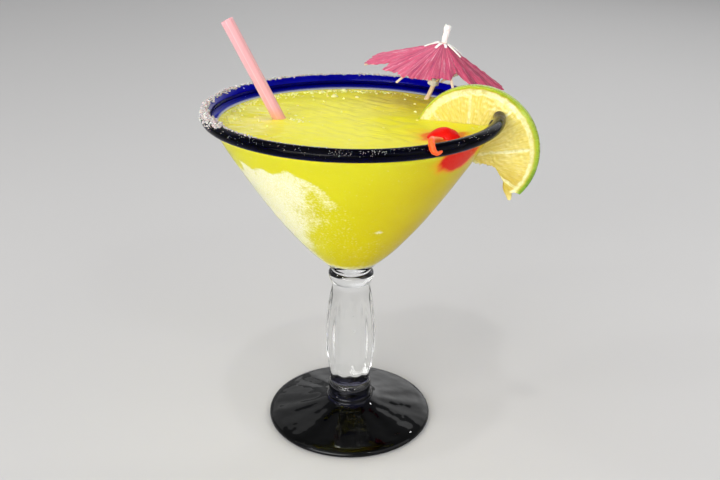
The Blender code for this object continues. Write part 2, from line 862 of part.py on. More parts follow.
def build_paper_collar(group, material, frame):
    inner = STICK_RADIUS + GAP
    top = PAPER_COLLAR_TOP
    bottom = top - PAPER_COLLAR_LENGTH
    outer = PAPER_COLLAR_RADIUS
    profile = [(inner, bottom), (inner, top), (outer - 0.0003, top), (outer, bottom)]
    piece = screw_piece("umbrella_collar", profile, 20, group, material, closed=True)
    piece.matrix_world = frame
    return piece


def stick_path(frame):
    """Down the umbrella's axis to under the collar, and then along the bend."""
    top = frame @ Vector((0.0, 0.0, FINIAL_BOTTOM - GAP))
    straight_end = frame @ Vector((0.0, 0.0, PAPER_COLLAR_TOP - PAPER_COLLAR_LENGTH - 0.0006))
    bend = smooth_path([straight_end, *STICK_BEND], 3)
    return [top, *bend]


def build_stick(group, material, frame):
    return tube("umbrella_stick", stick_path(frame), STICK_RADIUS, group, material)


def stick_room(cutters, frame):
    """What the stick takes out of the drink, from above its level to its end."""
    path = stick_path(frame)[1:]
    path[-1] = path[-1] + (path[-1] - path[-2]).normalized() * GAP
    room = tube("stick_room", path, STICK_RADIUS + GAP * 1.1, cutters)
    hide_cutter(room)
    return room


def build_drink(group, material, rooms):
    """The drink fills the bowl to its level, less the room of what stands in it."""
    profile = [(0.0, DRINK_LEVEL)]
    profile += reversed(side_up_to(WALL + GAP, DRINK_LEVEL))
    profile += [(FLOOR_RADIUS - GAP, BOWL_FLOOR + 0.0002 + GAP), (0.0, BOWL_FLOOR + GAP)]
    drink = screw_piece("drink", profile, BOWL_STEPS, group)
    for room in rooms:
        cut(drink, room)
    drink = bake(drink, weld=0.00001)
    keep_largest(drink)
    drink.data.materials.append(material)
    return drink


def main():
    clear_scene()
    group = new_collection("margarita")
    cutters = new_collection("cutters")
    clear = new_material("clear_glass", CLEAR_GLASS)
    cobalt = new_material("cobalt_glass", COBALT_GLASS)
    white_paper = new_material("white_paper", WHITE_PAPER)
    pale_wood = new_material("pale_wood", PALE_WOOD)

    build_foot(group, cobalt)
    build_stem(group, clear)
    build_bowl(group, clear)
    build_rim(group, cobalt)
    build_straw(group, new_material("pink_plastic", PINK_PLASTIC))
    build_lime(group, cutters, new_material("lime_flesh", LIME_FLESH))
    build_cherry(group, new_material("cherry_skin", CHERRY_SKIN))
    build_cherry_stem(group, new_material("cherry_stalk", CHERRY_STALK))

    frame = umbrella_matrix()
    build_canopy(group, new_material("pink_paper", PINK_PAPER), frame)
    build_frame_strips(group, pale_wood, white_paper, frame)
    build_finial(group, white_paper, frame)
    build_paper_collar(group, white_paper, frame)
    build_stick(group, pale_wood, frame)

    rooms = [straw_room(cutters), lime_room(cutters), cherry_room(cutters)]
    rooms.append(stick_room(cutters, frame))
    build_drink(group, new_material("margarita_drink", MARGARITA), rooms)


main()
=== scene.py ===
"""A frozen margarita in a hand-blown glass with a cobalt rim and foot.

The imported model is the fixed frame. Each piece here stands for one or more of its nodes and
has the same place and size, with a smoother surface and its real finish. Lengths are metres.
"""

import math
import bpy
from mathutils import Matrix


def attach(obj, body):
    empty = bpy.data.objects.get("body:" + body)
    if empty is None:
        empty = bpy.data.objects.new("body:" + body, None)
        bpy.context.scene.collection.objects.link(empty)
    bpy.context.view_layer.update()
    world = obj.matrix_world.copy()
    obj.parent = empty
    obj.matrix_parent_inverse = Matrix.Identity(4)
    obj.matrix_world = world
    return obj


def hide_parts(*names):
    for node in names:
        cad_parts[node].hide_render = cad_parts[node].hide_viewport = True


bl_info = {
    "name": "Margarita",
    "version": (1, 0, 0),
    "blender": (4, 5, 0),
    "location": "3D View > Sidebar > Margarita",
    "description": "Builds a frozen margarita with its salt, straw, lime, cherry and umbrella",
    "category": "Add Mesh",
}

import bpy
import numpy as np
from bpy.props import FloatProperty, FloatVectorProperty, IntProperty, PointerProperty
from mathutils import Matrix, Vector

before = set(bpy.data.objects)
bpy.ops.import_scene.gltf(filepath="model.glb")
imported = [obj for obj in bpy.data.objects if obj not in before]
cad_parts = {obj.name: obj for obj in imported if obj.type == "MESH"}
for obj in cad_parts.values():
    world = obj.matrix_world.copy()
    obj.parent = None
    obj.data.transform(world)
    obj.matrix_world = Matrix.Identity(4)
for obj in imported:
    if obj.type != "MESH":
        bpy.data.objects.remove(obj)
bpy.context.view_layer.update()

BODY = "root"
MM = 0.001

# The bowl's side, from which the glass is built up: height and outer radius
BOWL_SIDE = np.array([
    (0.0758, 0.0080), (0.0800, 0.0122), (0.0860, 0.0185), (0.0940, 0.0256),
    (0.1040, 0.0334), (0.1160, 0.0417), (0.1300, 0.0507), (0.1480, 0.0610),
])
BOWL_FLOOR = 0.0788
FLOOR_RADIUS = 0.0058
# The heights between which the drink's side is laid out
SIDE_START, SIDE_END = 0.0792, 0.1455
# The drink's points above this height are its surface
SURFACE_FROM = 0.1420

# The stem from the waist under the bowl to the foot: radius and height
STEM_OUTLINE = [
    (0.0092, 0.0768), (0.0089, 0.0761), (0.0091, 0.0756), (0.0097, 0.0750),
    (0.01015, 0.0742), (0.0102, 0.0733), (0.01005, 0.0723), (0.0096, 0.0710),
    (0.0090, 0.0697), (0.0087, 0.0680), (0.0093, 0.0640), (0.0106, 0.0560),
    (0.0115, 0.0460), (0.0115, 0.0400), (0.0112, 0.0340), (0.0104, 0.0280),
    (0.0096, 0.0225), (0.0091, 0.0188), (0.0093, 0.0178), (0.00975, 0.0172),
    (0.00995, 0.0162), (0.00995, 0.0150), (0.0098, 0.0138), (0.0094, 0.0128),
    (0.0090, 0.0123),
]
FLUTE_ENDS = (0.0215, 0.0655)
GLASS_COLUMNS = 240
FOOT_COLUMNS = DRINK_COLUMNS = 288

FOOT_OUTLINE = [
    (0.0093, 0.0123), (0.00985, 0.0118), (0.0104, 0.0099), (0.0132, 0.0081),
    (0.0185, 0.0066), (0.0260, 0.0051), (0.0330, 0.0039), (0.0366, 0.0030),
    (0.0379, 0.0022), (0.03826, 0.0012), (0.0378, 0.0003), (0.0371, 0.0),
]

STRAW_TOP = np.array((-0.0517, 0.0020, 0.1846))
STRAW_AT_DRINK = np.array((-0.0309, 0.0012, 0.1435))
STRAW_END = 0.0818

# The slice's outline is laid out in its own plane, from the middle of the rind's arc
LIME_CENTRE = (0.0522, 0.0, 0.1325)
LIME_TURN = math.radians(19.0)
LIME_ARC = (-40.4, 158.0)
LIME_CORE = np.array((-0.0030, -0.0030))
LIME_HUB = np.array((0.0030, 0.0040))
SEGMENT_EDGES = np.radians((-28.0, 12.0, 51.0, 90.0, 131.0, 165.0))
TORN_EDGE = [
    (0.0009, -0.0064), (0.0052, -0.0062), (0.0096, -0.0070), (0.0117, -0.0090),
    (0.0144, -0.0118), (0.0148, -0.0150), (0.0165, -0.0176), (0.0182, -0.0172),
]
FLAP = [(0.0152, -0.0120), (0.0150, -0.0160), (0.0160, -0.0188), (0.0164, -0.0214)]

CHERRY_CENTRE = np.array((0.0365, -0.0220, 0.1388))
CHERRY_RADIUS = 0.0088
# The large bubbles on the drink: place and radius
BUBBLES = np.array([
    (-0.0086, 0.0438, 0.0019), (0.0017, 0.0428, 0.0013), (-0.0120, 0.0447, 0.0009),
    (-0.0246, 0.0088, 0.0009), (-0.0214, 0.0057, 0.0007), (-0.0278, 0.0118, 0.0006),
    (0.0240, 0.0400, 0.0008),
])
# Where the cherry's red is painted on the drink's side at the wall, as if seen through the drink
CHERRY_SEEN = np.array((0.0420, -0.0352, 0.1412))
# A painted highlight on the drink's side at the front: a small white spot carried by the frost
HIGHLIGHT_SPOT = np.array((0.0110, -0.0311, 0.1062))
# The cherry's stem: its way out of the cherry, a point inside the rim, and then its azimuths
# and angles round the bead
STALK_START = np.array((-0.17, -0.78, 0.60))
STALK_INSIDE = np.array((0.0330, -0.0420, 0.1484))
STALK_ON_RIM = np.array([
    (-60.0, 125.0), (-61.6, 95.0), (-63.0, 66.0), (-63.6, 38.0),
    (-63.2, 15.0), (-61.9, 2.0), (-60.4, 8.0),
])

UMBRELLA_APEX = (0.0406, 0.0400, 0.1700)
UMBRELLA_LEAN = math.radians(11.5)
FIRST_RIB = 10.0
# The azimuth at which the paper's dye is most faded
FADE_AZIMUTH = 195.0
PAPER_REACH = np.array((0.97, 0.95, 0.94, 0.96, 0.975, 0.89, 0.74, 0.93))
TEARS = ((204.0, 7.0, 0.20), (290.0, 13.0, 0.20), (62.0, 8.0, 0.10), (128.0, 6.0, 0.12))
ARM_LENGTHS = (0.0095, 0.0050, 0.0060, 0.0048, 0.0085, 0.0065, 0.0046, 0.0100)
STICK_BEND = [
    (0.0340, 0.0410, 0.1435), (0.0290, 0.0392, 0.1360),
    (0.0240, 0.0358, 0.1280), (0.0190, 0.0315, 0.1190),
]
COLLAR_SPAN = (-0.0198, -0.0166)
RIB_COUNT = 8
RIB_STEP = 360.0 / RIB_COUNT
# Heights over the paper's cone of the ribs' and the arms' middle lines
RIB_LIFT, ARM_LIFT = -0.00105, 0.00062

FLOOR_HALF, FLOOR_LOW = 9.0, -0.0002
CAMERA_PLACE = (0.0, -0.3647, 0.2435)
CAMERA_LENS = 44.48
# The camera's swing, its tilt down and its roll, in degrees
CAMERA_SWING, CAMERA_TILT, CAMERA_ROLL = -0.59, 22.9, 0.95
# The sky's greys by height, from level to straight up
SKY = ((0.0, (0.47, 0.47, 0.47, 1.0)), (0.16, (0.95, 0.96, 0.98, 1.0)),
       (1.0, (0.45, 0.46, 0.48, 1.0)))
# The lamps: name, place, size, share of the key light's power, tint and spread in degrees
WHITE = (1.0, 1.0, 1.0)
LAMPS = (
    ("key", (-0.35, -0.35, 0.95), (1.10, 0.80), 0.40, (1.0, 0.98, 0.95), 180.0),
    ("front", (-0.80, -1.55, 0.55), (2.40, 0.90), 2.02, WHITE, 70.0),
    ("rear", (0.70, 1.70, 0.80), (2.40, 1.20), 0.52, WHITE, 80.0),
    ("fill", (0.80, -0.50, 0.50), (1.10, 0.90), 0.68, WHITE, 180.0),
    ("back", (-0.70, 1.70, 1.20), (2.0, 1.0), 0.70, WHITE, 180.0),
    ("lamp", (-0.06, -0.22, 1.20), (0.05, 0.05), 0.22, WHITE, 180.0),
)
LAMP_AIM = (0.0, 0.0, 0.10)
# Small lamps in a ring, for glints: their azimuths, and their distance, size and share
GLINTS = (-88.0, -56.0, 30.0, 135.0)
GLINT_REACH, GLINT_SIZE, GLINT_SHARE = 0.85, 0.06, 0.12


def length(name, description, default):
    """A size in metres."""
    return FloatProperty(
        name=name, description=description, default=default, min=0.0, unit="LENGTH", precision=5
    )


def colour(name, description, default):
    """A linear colour."""
    return FloatVectorProperty(
        name=name,
        description=description,
        default=default,
        size=3,
        min=0.0,
        max=1.0,
        subtype="COLOR",
    )


class GlassSettings(bpy.types.PropertyGroup):
    wall: length("Wall", "Thickness of the bowl's wall", 0.0020)
    bead_circle: length("Rim circle", "Radius of the cobalt bead's centre line", 0.0609)
    bead: length("Rim bead", "Radius of the cobalt bead itself", 0.0026)
    bead_height: length("Rim height", "Height of the cobalt bead's centre line", 0.1477)
    flutes: IntProperty(name="Flutes", description="Soft flutes on the stem", default=10, min=0)
    flute_depth: length("Flute depth", "Depth of the stem's flutes", 0.0008)
    clear: colour("Clear glass", "Tint of the clear glass", (0.97, 0.985, 0.98))
    rim_blue: colour("Rim cobalt", "Light that passes through the rim", (0.0008, 0.0008, 0.46))
    foot_blue: colour("Foot cobalt", "Light that passes the foot", (0.0008, 0.0008, 0.010))


class DrinkSettings(bpy.types.PropertyGroup):
    level: length("Level", "Height of the drink's surface", 0.1435)
    into_wall: length("Into the wall", "How far the drink reaches into the glass", 0.0003)
    ripple: length("Ripple", "Height of the slush on the surface", 0.00011)
    yellow: colour("Drink", "The blended drink", (0.67, 0.61, 0.005))
    shaded_gold: colour("Drink, shaded side", "The drink at the lower right", (0.66, 0.48, 0.001))
    ice: colour("Ice", "Fine ice at the surface", (0.92, 0.86, 0.34))
    frost: colour("Frost", "Ice frozen to the bowl's left side", (0.97, 0.95, 0.78))


class SaltSettings(bpy.types.PropertyGroup):
    seed: IntProperty(name="Seed", description="Draw of the salt crystals", default=11)
    crust: IntProperty(
        name="Crust", description="Crystals in the thick crust on the left", default=620, min=0
    )
    grain: length("Grain", "Half the size of the largest crystals", 0.00042)
    white: colour("Salt", "The salt crystals", (0.68, 0.645, 0.62))


class StrawSettings(bpy.types.PropertyGroup):
    radius: length("Radius", "Outer radius of the straw", 0.0026)
    wall: length("Wall", "Thickness of the straw's wall", 0.00035)
    pink: colour("Straw", "The straw's plastic", (0.95, 0.40, 0.43))


class LimeSettings(bpy.types.PropertyGroup):
    radius: length("Radius", "Radius of the slice", 0.0275)
    thickness: length("Thickness", "Thickness of the slice", 0.0046)
    pulp: colour("Pulp", "The juice sacs", (0.66, 0.53, 0.095))
    pith: colour("Pith", "Pith and membranes", (0.84, 0.79, 0.42))
    skin: colour("Skin", "The green skin", (0.10, 0.22, 0.004))


class CherrySettings(bpy.types.PropertyGroup):
    radius: length("Radius", "Radius of the cherry", CHERRY_RADIUS)
    stem_radius: length("Stem radius", "Radius of the cherry's stem", 0.00125)
    red: colour("Cherry", "The cherry's skin", (0.70, 0.0015, 0.0005))
    stem_red: colour("Stem", "The cherry's stem", (0.92, 0.075, 0.004))


class UmbrellaSettings(bpy.types.PropertyGroup):
    radius: length("Radius", "Reach of the umbrella's ribs", 0.0338)
    rise: length("Rise", "Height of the umbrella's cone", 0.0155)
    paper: length("Paper", "Thickness of the paper", 0.0003)
    pleat: length("Pleat", "Depth of the pleats at the edge", 0.0004)
    pink: colour("Paper", "The dyed tissue paper", (0.62, 0.068, 0.155))
    white: colour("White paper", "The collar, the tip and the bare rib ends", (0.88, 0.86, 0.83))
    wood: colour("Wood", "Stick, ribs and stretchers", (0.86, 0.66, 0.46))


class StageSettings(bpy.types.PropertyGroup):
    floor: colour("Floor", "The pale floor", (0.62, 0.61, 0.60))
    key: FloatProperty(
        name="Key light", description="Power of the key light", default=4.6, unit="POWER"
    )
    sky: FloatProperty(
        name="Sky", description="Strength of the soft light all round", default=0.50
    )


# Curves, noise and surfaces


def through(points, steps):
    """A smooth curve through points: on each span, the cubic whose end slopes are the
    differences of the points by the distance along them."""
    points = np.asarray(points, float)
    along = np.cumsum(np.r_[0.0, np.linalg.norm(np.diff(points, axis=0), axis=1)])
    slopes = np.gradient(points, along, axis=0)
    span = np.diff(along)[:, None, None]
    t = (np.arange(steps) / steps)[None, :, None]
    a, b = points[:-1, None], points[1:, None]
    rise_a, rise_b = slopes[:-1, None] * span, slopes[1:, None] * span
    made = (2 * t**3 - 3 * t**2 + 1) * a + (t**3 - 2 * t**2 + t) * rise_a
    made = made + (3 * t**2 - 2 * t**3) * b + (t**3 - t**2) * rise_b
    return np.concatenate([made.reshape(-1, points.shape[1]), points[-1:]])


def waves(points, size, seed, count=24):
    """Smooth noise: the sum of cosines along random directions, with waves of about size."""
    rng = np.random.default_rng(seed)
    ways = rng.normal(size=(count, points.shape[-1]))
    ways /= np.linalg.norm(ways, axis=1, keepdims=True)
    ways *= math.tau / (size * rng.uniform(0.7, 1.4, (count, 1)))
    phases = rng.uniform(0.0, math.tau, count)
    return np.cos(points @ ways.T + phases).sum(-1) * math.sqrt(2.0 / count)


def smooth_step(low, high, values):
    """0 below low, 1 above high, and a smooth rise between."""
    t = np.clip((values - low) / (high - low), 0.0, 1.0)
    return t * t * (3.0 - 2.0 * t)


def once_round(count):
    """Equal angles once round."""
    return np.arange(count) * math.tau / count


def polar(radius, angle, *height):
    """Points at a radius and an angle, and at a height where one is given."""
    flat = radius * np.cos(angle), radius * np.sin(angle)
    return np.stack(np.broadcast_arrays(*flat, *height), -1)


def side_radius(z):
    """The bowl's outer radius at heights z: a cubic on each span of BOWL_SIDE."""
    heights, radii = BOWL_SIDE.T
    slopes = np.gradient(radii, heights)
    k = np.clip(np.searchsorted(heights, z) - 1, 0, len(heights) - 2)
    span = heights[k + 1] - heights[k]
    t = (z - heights[k]) / span
    rise = radii[k + 1] - radii[k]
    a = slopes[k] * span - rise
    b = rise - slopes[k + 1] * span
    return radii[k] + t * rise + t * (1 - t) * ((1 - t) * a + t * b)


def inside_wall(z, depth):
    """(radius, height) at right angles inwards, by depth, from the side at heights z."""
    step = 0.0002
    slope = (side_radius(z + step) - side_radius(z - step)) / (2 * step)
    reach = np.hypot(1.0, slope)
    return np.stack([side_radius(z) - depth / reach, z + depth * slope / reach], -1)


def turned(profile, columns):
    """A turned surface: (r, z) at the angle a lies at (r cos a, r sin a, z)."""
    return polar(profile[:, :1], once_round(columns), profile[:, 1:])


def close_part(verts, corners, uv, keep, values):
    """A part's arrays, with its faces turned outwards by the sign of its volume: the sum of
    a . (b x c) over its triangles."""
    a, b, c, d = (verts[corners[:, k]] for k in range(4))
    middle = verts.mean(0)
    a, b, c, d = a - middle, b - middle, c - middle, d - middle
    volume = np.sum(a * np.cross(b, c)) + np.sum(a * np.cross(c, d))
    if volume < 0:
        corners, uv, keep = corners[:, ::-1], uv[:, ::-1], keep[:, ::-1]
    used, loops = np.unique(corners[keep], return_inverse=True)
    return {
        "verts": verts[used],
        "loops": loops.ravel(),
        "sizes": keep.sum(1),
        "uv": uv[keep],
        "values": {name: np.ravel(value)[used] for name, value in (values or {}).items()},
    }


def grid_part(points, around=False, loop=False, poles=(False, False), values=None):
    """Quads over a grid of points, rows by columns. With around the last column joins the
    first, with loop the last row joins the first, and a pole draws a row into one point.
    The UV map is each corner's share of the columns and of the rows."""
    rows, columns = points.shape[:2]
    down = rows if loop else rows - 1
    across = columns if around else columns - 1
    r, c = np.meshgrid(np.arange(down), np.arange(across), indexing="ij")
    row = np.stack([r, r + 1, r + 1, r], -1).reshape(-1, 4)
    column = np.stack([c, c, c + 1, c + 1], -1).reshape(-1, 4)
    index = np.arange(rows * columns).reshape(rows, columns)
    keep = np.ones(row.shape, bool)
    if poles[0]:
        index[0] = index[0, 0]
        keep[row[:, 0] == 0, 3] = False
    if poles[1]:
        index[-1] = index[-1, 0]
        keep[row[:, 1] == rows - 1, 2] = False
    corners = index[row % rows, column % columns]
    uv = np.stack([column / across, row / down], -1)
    return close_part(points.reshape(-1, 3), corners, uv, keep, values)


def rod_part(path, radii, sides, across, cap=1.0):
    """A round rod with rounded ends: p + r (n cos a + b sin a), where n and b are at right
    angles to the path and n is square to the vector across."""
    path = np.asarray(path, float)
    radii = np.broadcast_to(radii, len(path))
    way = np.gradient(path, axis=0)
    way /= np.linalg.norm(way, axis=1, keepdims=True)
    turn = np.radians(np.linspace(90.0, 0.0, 6))[:-1]
    lift, shrink = np.sin(turn)[:, None], np.cos(turn)
    start = path[0] - way[0] * lift * radii[0] * cap
    end = path[-1] + way[-1] * lift[::-1] * radii[-1] * cap
    line = np.concatenate([start, path, end])
    r = np.concatenate([radii[0] * shrink, radii, radii[-1] * shrink[::-1]])
    way = np.concatenate([np.repeat(way[:1], 5, 0), way, np.repeat(way[-1:], 5, 0)])
    n = np.cross(way, across)
    n /= np.linalg.norm(n, axis=1, keepdims=True)
    b = np.cross(way, n)
    a = once_round(sides)[None, :, None]
    ring = n[:, None] * np.cos(a) + b[:, None] * np.sin(a)
    points = line[:, None] + ring * r[:, None, None]
    return grid_part(points, around=True, poles=(True, True))


def slat_part(start, end, width, thickness, upwards, bow=0.0, taper=1.0):
    """A flat slat with rounded corners: a superellipse of the fourth power, carried from
    start to end, bowed by a sine, and drawn in to a point at both ends."""
    start, end = np.asarray(start, float), np.asarray(end, float)
    way = (end - start) / np.linalg.norm(end - start)
    side = np.cross(upwards, way)
    side /= np.linalg.norm(side)
    top = np.cross(way, side)
    t = np.r_[0.0, 0.0, 0.004, 0.015, np.linspace(0.04, 0.96, 12), 0.985, 0.996, 1.0, 1.0]
    grow = np.r_[0.0, 0.82, 0.94, 1.0, np.ones(12), 1.0, 0.94, 0.82, 0.0]
    grow = grow * (1.0 + (taper - 1.0) * t)
    a = once_round(16)
    u = np.sign(np.cos(a)) * np.abs(np.cos(a)) ** 0.5 * width / 2
    v = np.sign(np.sin(a)) * np.abs(np.sin(a)) ** 0.5 * thickness / 2
    line = start + (end - start) * t[:, None] + top * (bow * np.sin(math.pi * t))[:, None]
    ring = side * u[:, None] + top * v[:, None]
    points = line[:, None] + ring * grow[:, None, None]
    return grid_part(points, around=True, poles=(True, True))


def scatter_part(shape, quads, centres, sizes, rng, jitter=0.25, squash=(1.0, 1.0, 1.0)):
    """Copies of a small closed shape, each stretched, turned by a random unit quaternion and
    put at its centre."""
    count = len(centres)
    verts = shape * (1.0 + rng.uniform(-jitter, jitter, (count, *shape.shape)))
    verts = verts * np.asarray(squash) * rng.uniform(0.7, 1.3, (count, 1, 3))
    q = rng.normal(size=(count, 4))
    w, x, y, z = (q / np.linalg.norm(q, axis=1, keepdims=True)).T
    spin = np.array(
        [
            [1 - 2 * (y * y + z * z), 2 * (x * y - z * w), 2 * (x * z + y * w)],
            [2 * (x * y + z * w), 1 - 2 * (x * x + z * z), 2 * (y * z - x * w)],
            [2 * (x * z - y * w), 2 * (y * z + x * w), 1 - 2 * (x * x + y * y)],
        ]
    )
    verts = np.einsum("nvk,jkn->nvj", verts * sizes[:, None, None], spin)
    verts += centres[:, None]
    corners = (quads[None] + (np.arange(count) * len(shape))[:, None, None]).reshape(-1, 4)
    uv = np.zeros((*corners.shape, 2))
    return close_part(verts.reshape(-1, 3), corners, uv, np.ones(corners.shape, bool), None)


CUBE = np.array([(x, y, z) for x in (-1, 1) for y in (-1, 1) for z in (-1, 1)], float)
CUBE_QUADS = np.array(
    [(0, 1, 3, 2), (4, 6, 7, 5), (0, 4, 5, 1), (2, 3, 7, 6), (0, 2, 6, 4), (1, 5, 7, 3)]
)


def make_piece(name, parts, material, nodes=(), smooth=True):
    """One object from parts, at the origin, which rides on the body and stands for nodes."""
    offsets = np.cumsum([0] + [len(part["verts"]) for part in parts[:-1]])
    verts = np.concatenate([part["verts"] for part in parts])
    loops = np.concatenate([part["loops"] + k for part, k in zip(parts, offsets)])
    sizes = np.concatenate([part["sizes"] for part in parts])
    mesh = bpy.data.meshes.new(name)
    mesh.vertices.add(len(verts))
    mesh.vertices.foreach_set("co", verts.astype(np.float32).ravel())
    mesh.loops.add(len(loops))
    mesh.loops.foreach_set("vertex_index", loops.astype(np.int32))
    mesh.polygons.add(len(sizes))
    mesh.polygons.foreach_set("loop_start", (np.cumsum(sizes) - sizes).astype(np.int32))
    mesh.update(calc_edges=True)
    layer = mesh.uv_layers.new(name="UVMap")
    uv = np.concatenate([part["uv"] for part in parts])
    layer.data.foreach_set("uv", uv.astype(np.float32).ravel())
    for key in parts[0]["values"]:
        values = np.concatenate([part["values"][key] for part in parts])
        attribute = mesh.attributes.new(key, "FLOAT", "POINT")
        attribute.data.foreach_set("value", values.astype(np.float32))
    mesh.polygons.foreach_set("use_smooth", np.full(len(sizes), smooth))
    mesh.validate()
    mesh.materials.append(material)
    piece = bpy.data.objects.new(name, mesh)
    bpy.context.scene.collection.objects.link(piece)
    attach(piece, BODY)
    if nodes:
        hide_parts(*nodes)
    return piece


# Materials


class Finish:
    """A Principled material and the few nodes that its patterns are made of."""

    def __init__(self, name):
        self.material = bpy.data.materials.new(name)
        self.material.use_nodes = True
        self.tree = self.material.node_tree
        self.shader = self.tree.nodes["Principled BSDF"]
        self.coordinates = self.tree.nodes.new("ShaderNodeTexCoord")
        self.place = self.coordinates.outputs["Object"]
        self.uv = self.coordinates.outputs["UV"]

    def node(self, kind, inputs=(), **settings):
        """A new node, with its settings, and with values or links on its inputs."""
        made = self.tree.nodes.new(kind)
        for key, value in settings.items():
            setattr(made, key, value)
        for key, value in dict(inputs).items():
            self.give(made.inputs[key], value)
        return made

    def give(self, socket, value):
        """A link or a value for a socket."""
        if isinstance(value, bpy.types.NodeSocket):
            self.tree.links.new(value, socket)
        elif socket.type == "RGBA" and len(value) == 3:
            socket.default_value = (*value, 1.0)
        else:
            socket.default_value = value

    def set(self, **values):
        """Values or links on the shader, named by its sockets with _ for a space."""
        for key, value in values.items():
            self.give(self.shader.inputs[key.replace("_", " ")], value)

    def axis(self, name):
        """One coordinate of the point, in metres."""
        return self.node("ShaderNodeSeparateXYZ", {"Vector": self.place}).outputs[name]

    def scaled(self, source, scale):
        """The coordinates scaled by a Mapping node."""
        inputs = {"Vector": source, "Scale": scale}
        return self.node("ShaderNodeMapping", inputs).outputs["Vector"]

    def noise(self, source, scale, detail=3.0, rough=0.55, warp=0.0):
        """Smooth noise from 0 to 1, in waves of 1 / scale."""
        inputs = {"Vector": source, "Scale": scale, "Detail": detail, "Roughness": rough}
        inputs["Distortion"] = warp
        return self.node("ShaderNodeTexNoise", inputs).outputs["Fac"]

    def cells(self, source, scale, feature="F1"):
        """Cells, by the distance to their middles or to their edges."""
        inputs = {"Vector": source, "Scale": scale}
        return self.node("ShaderNodeTexVoronoi", inputs, feature=feature).outputs["Distance"]

    def attribute(self, name):
        """A value that the mesh carries at its points."""
        return self.node("ShaderNodeAttribute", attribute_name=name).outputs["Fac"]

    def span(self, value, low, high, to_low=0.0, to_high=1.0):
        """A value's place between low and high, carried to another span."""
        inputs = {"Value": value, "From Min": low, "From Max": high}
        inputs.update({"To Min": to_low, "To Max": to_high})
        return self.node("ShaderNodeMapRange", inputs).outputs["Result"]

    def maths(self, operation, first, second=0.0):
        """Two values joined by a Math node."""
        made = self.node("ShaderNodeMath", operation=operation)
        self.give(made.inputs[0], first)
        self.give(made.inputs[1], second)
        return made.outputs[0]

    def mix(self, share, first, second):
        """Two colours mixed by a share from 0 to 1."""
        made = self.node("ShaderNodeMix", data_type="RGBA")
        self.give(made.inputs[0], share)
        self.give(made.inputs[6], first)
        self.give(made.inputs[7], second)
        return made.outputs[2]

    def bump(self, height, distance, strength=1.0, normal=None):
        """A bump of that depth in metres."""
        inputs = {"Height": height, "Distance": distance, "Strength": strength}
        if normal:
            inputs["Normal"] = normal
        return self.node("ShaderNodeBump", inputs).outputs["Normal"]


def clear_glass(settings):
    """Clear blown glass: a faint unevenness in its surface and in its tint."""
    finish = Finish("clear_glass")
    uneven = finish.noise(finish.place, 55.0, 1.0)
    tint = finish.mix(uneven, settings.clear, (1.0, 1.0, 1.0))
    height = finish.axis("Z")
    # Matte only behind the drink, where the wall would otherwise mirror the room
    low = finish.span(height, 0.0790, 0.0850)
    high = finish.span(height, 0.1450, 0.1410)
    bowl = finish.maths("MINIMUM", low, high)
    # Full refraction in the stem, and little where the drink lies against the wall
    dense = finish.span(height, 0.0752, 0.0785, 1.5, 1.07)
    # The lip takes on the blue of the bead, at the back and the sides
    stain = finish.span(height, 0.1438, 0.1450)
    stain = finish.maths("MULTIPLY", stain, finish.span(finish.axis("Y"), -0.046, -0.022))
    tint = finish.mix(stain, tint, (0.001, 0.002, 0.24))
    # Painted dark: the stem's clear end is tinted dark, standing in for the cobalt foot seen
    # through it
    tint = finish.mix(finish.span(height, 0.0182, 0.0170), tint, (0.010, 0.010, 0.025))
    finish.set(Base_Color=tint, Roughness=finish.maths("MULTIPLY", bowl, 0.22))
    finish.set(Transmission_Weight=1.0, IOR=dense)
    finish.set(Normal=finish.bump(uneven, 0.0008, 0.35))
    return finish.material


def seed_finish():
    """Air in the glass: all but clear, with a pale film."""
    finish = Finish("glass_seed")
    film = finish.noise(finish.place, 900.0, 1.0)
    tint = finish.mix(film, (0.90, 0.92, 0.92), (1.0, 1.0, 1.0))
    finish.set(Base_Color=tint, Roughness=0.15, IOR=1.06, Transmission_Weight=0.88)
    return finish.material


def cobalt_glass(name, blue, bump, ior):
    """Cobalt glass: it lets through only blue, with painted shade: its tint falls to a tenth
    towards the front.
    """
    finish = Finish(name)
    swirl = finish.noise(finish.place, 90.0, 2.0, warp=0.6)
    deep = tuple(channel * 0.75 for channel in blue)
    tint = finish.mix(finish.span(swirl, 0.35, 0.65), deep, blue)
    # Painted shade: the tint darkens towards the front (-Y), so the front looks near-black and the
    # back bright blue
    along = finish.axis("Y")
    thick = tuple(channel * 0.10 for channel in blue)
    tint = finish.mix(finish.span(along, -0.022, 0.018), thick, tint)
    finish.set(Base_Color=tint, Roughness=0.03, IOR=ior, Transmission_Weight=1.0)
    finish.set(Normal=finish.bump(finish.noise(finish.place, 140.0, 1.0), bump, 0.5))
    return finish.material


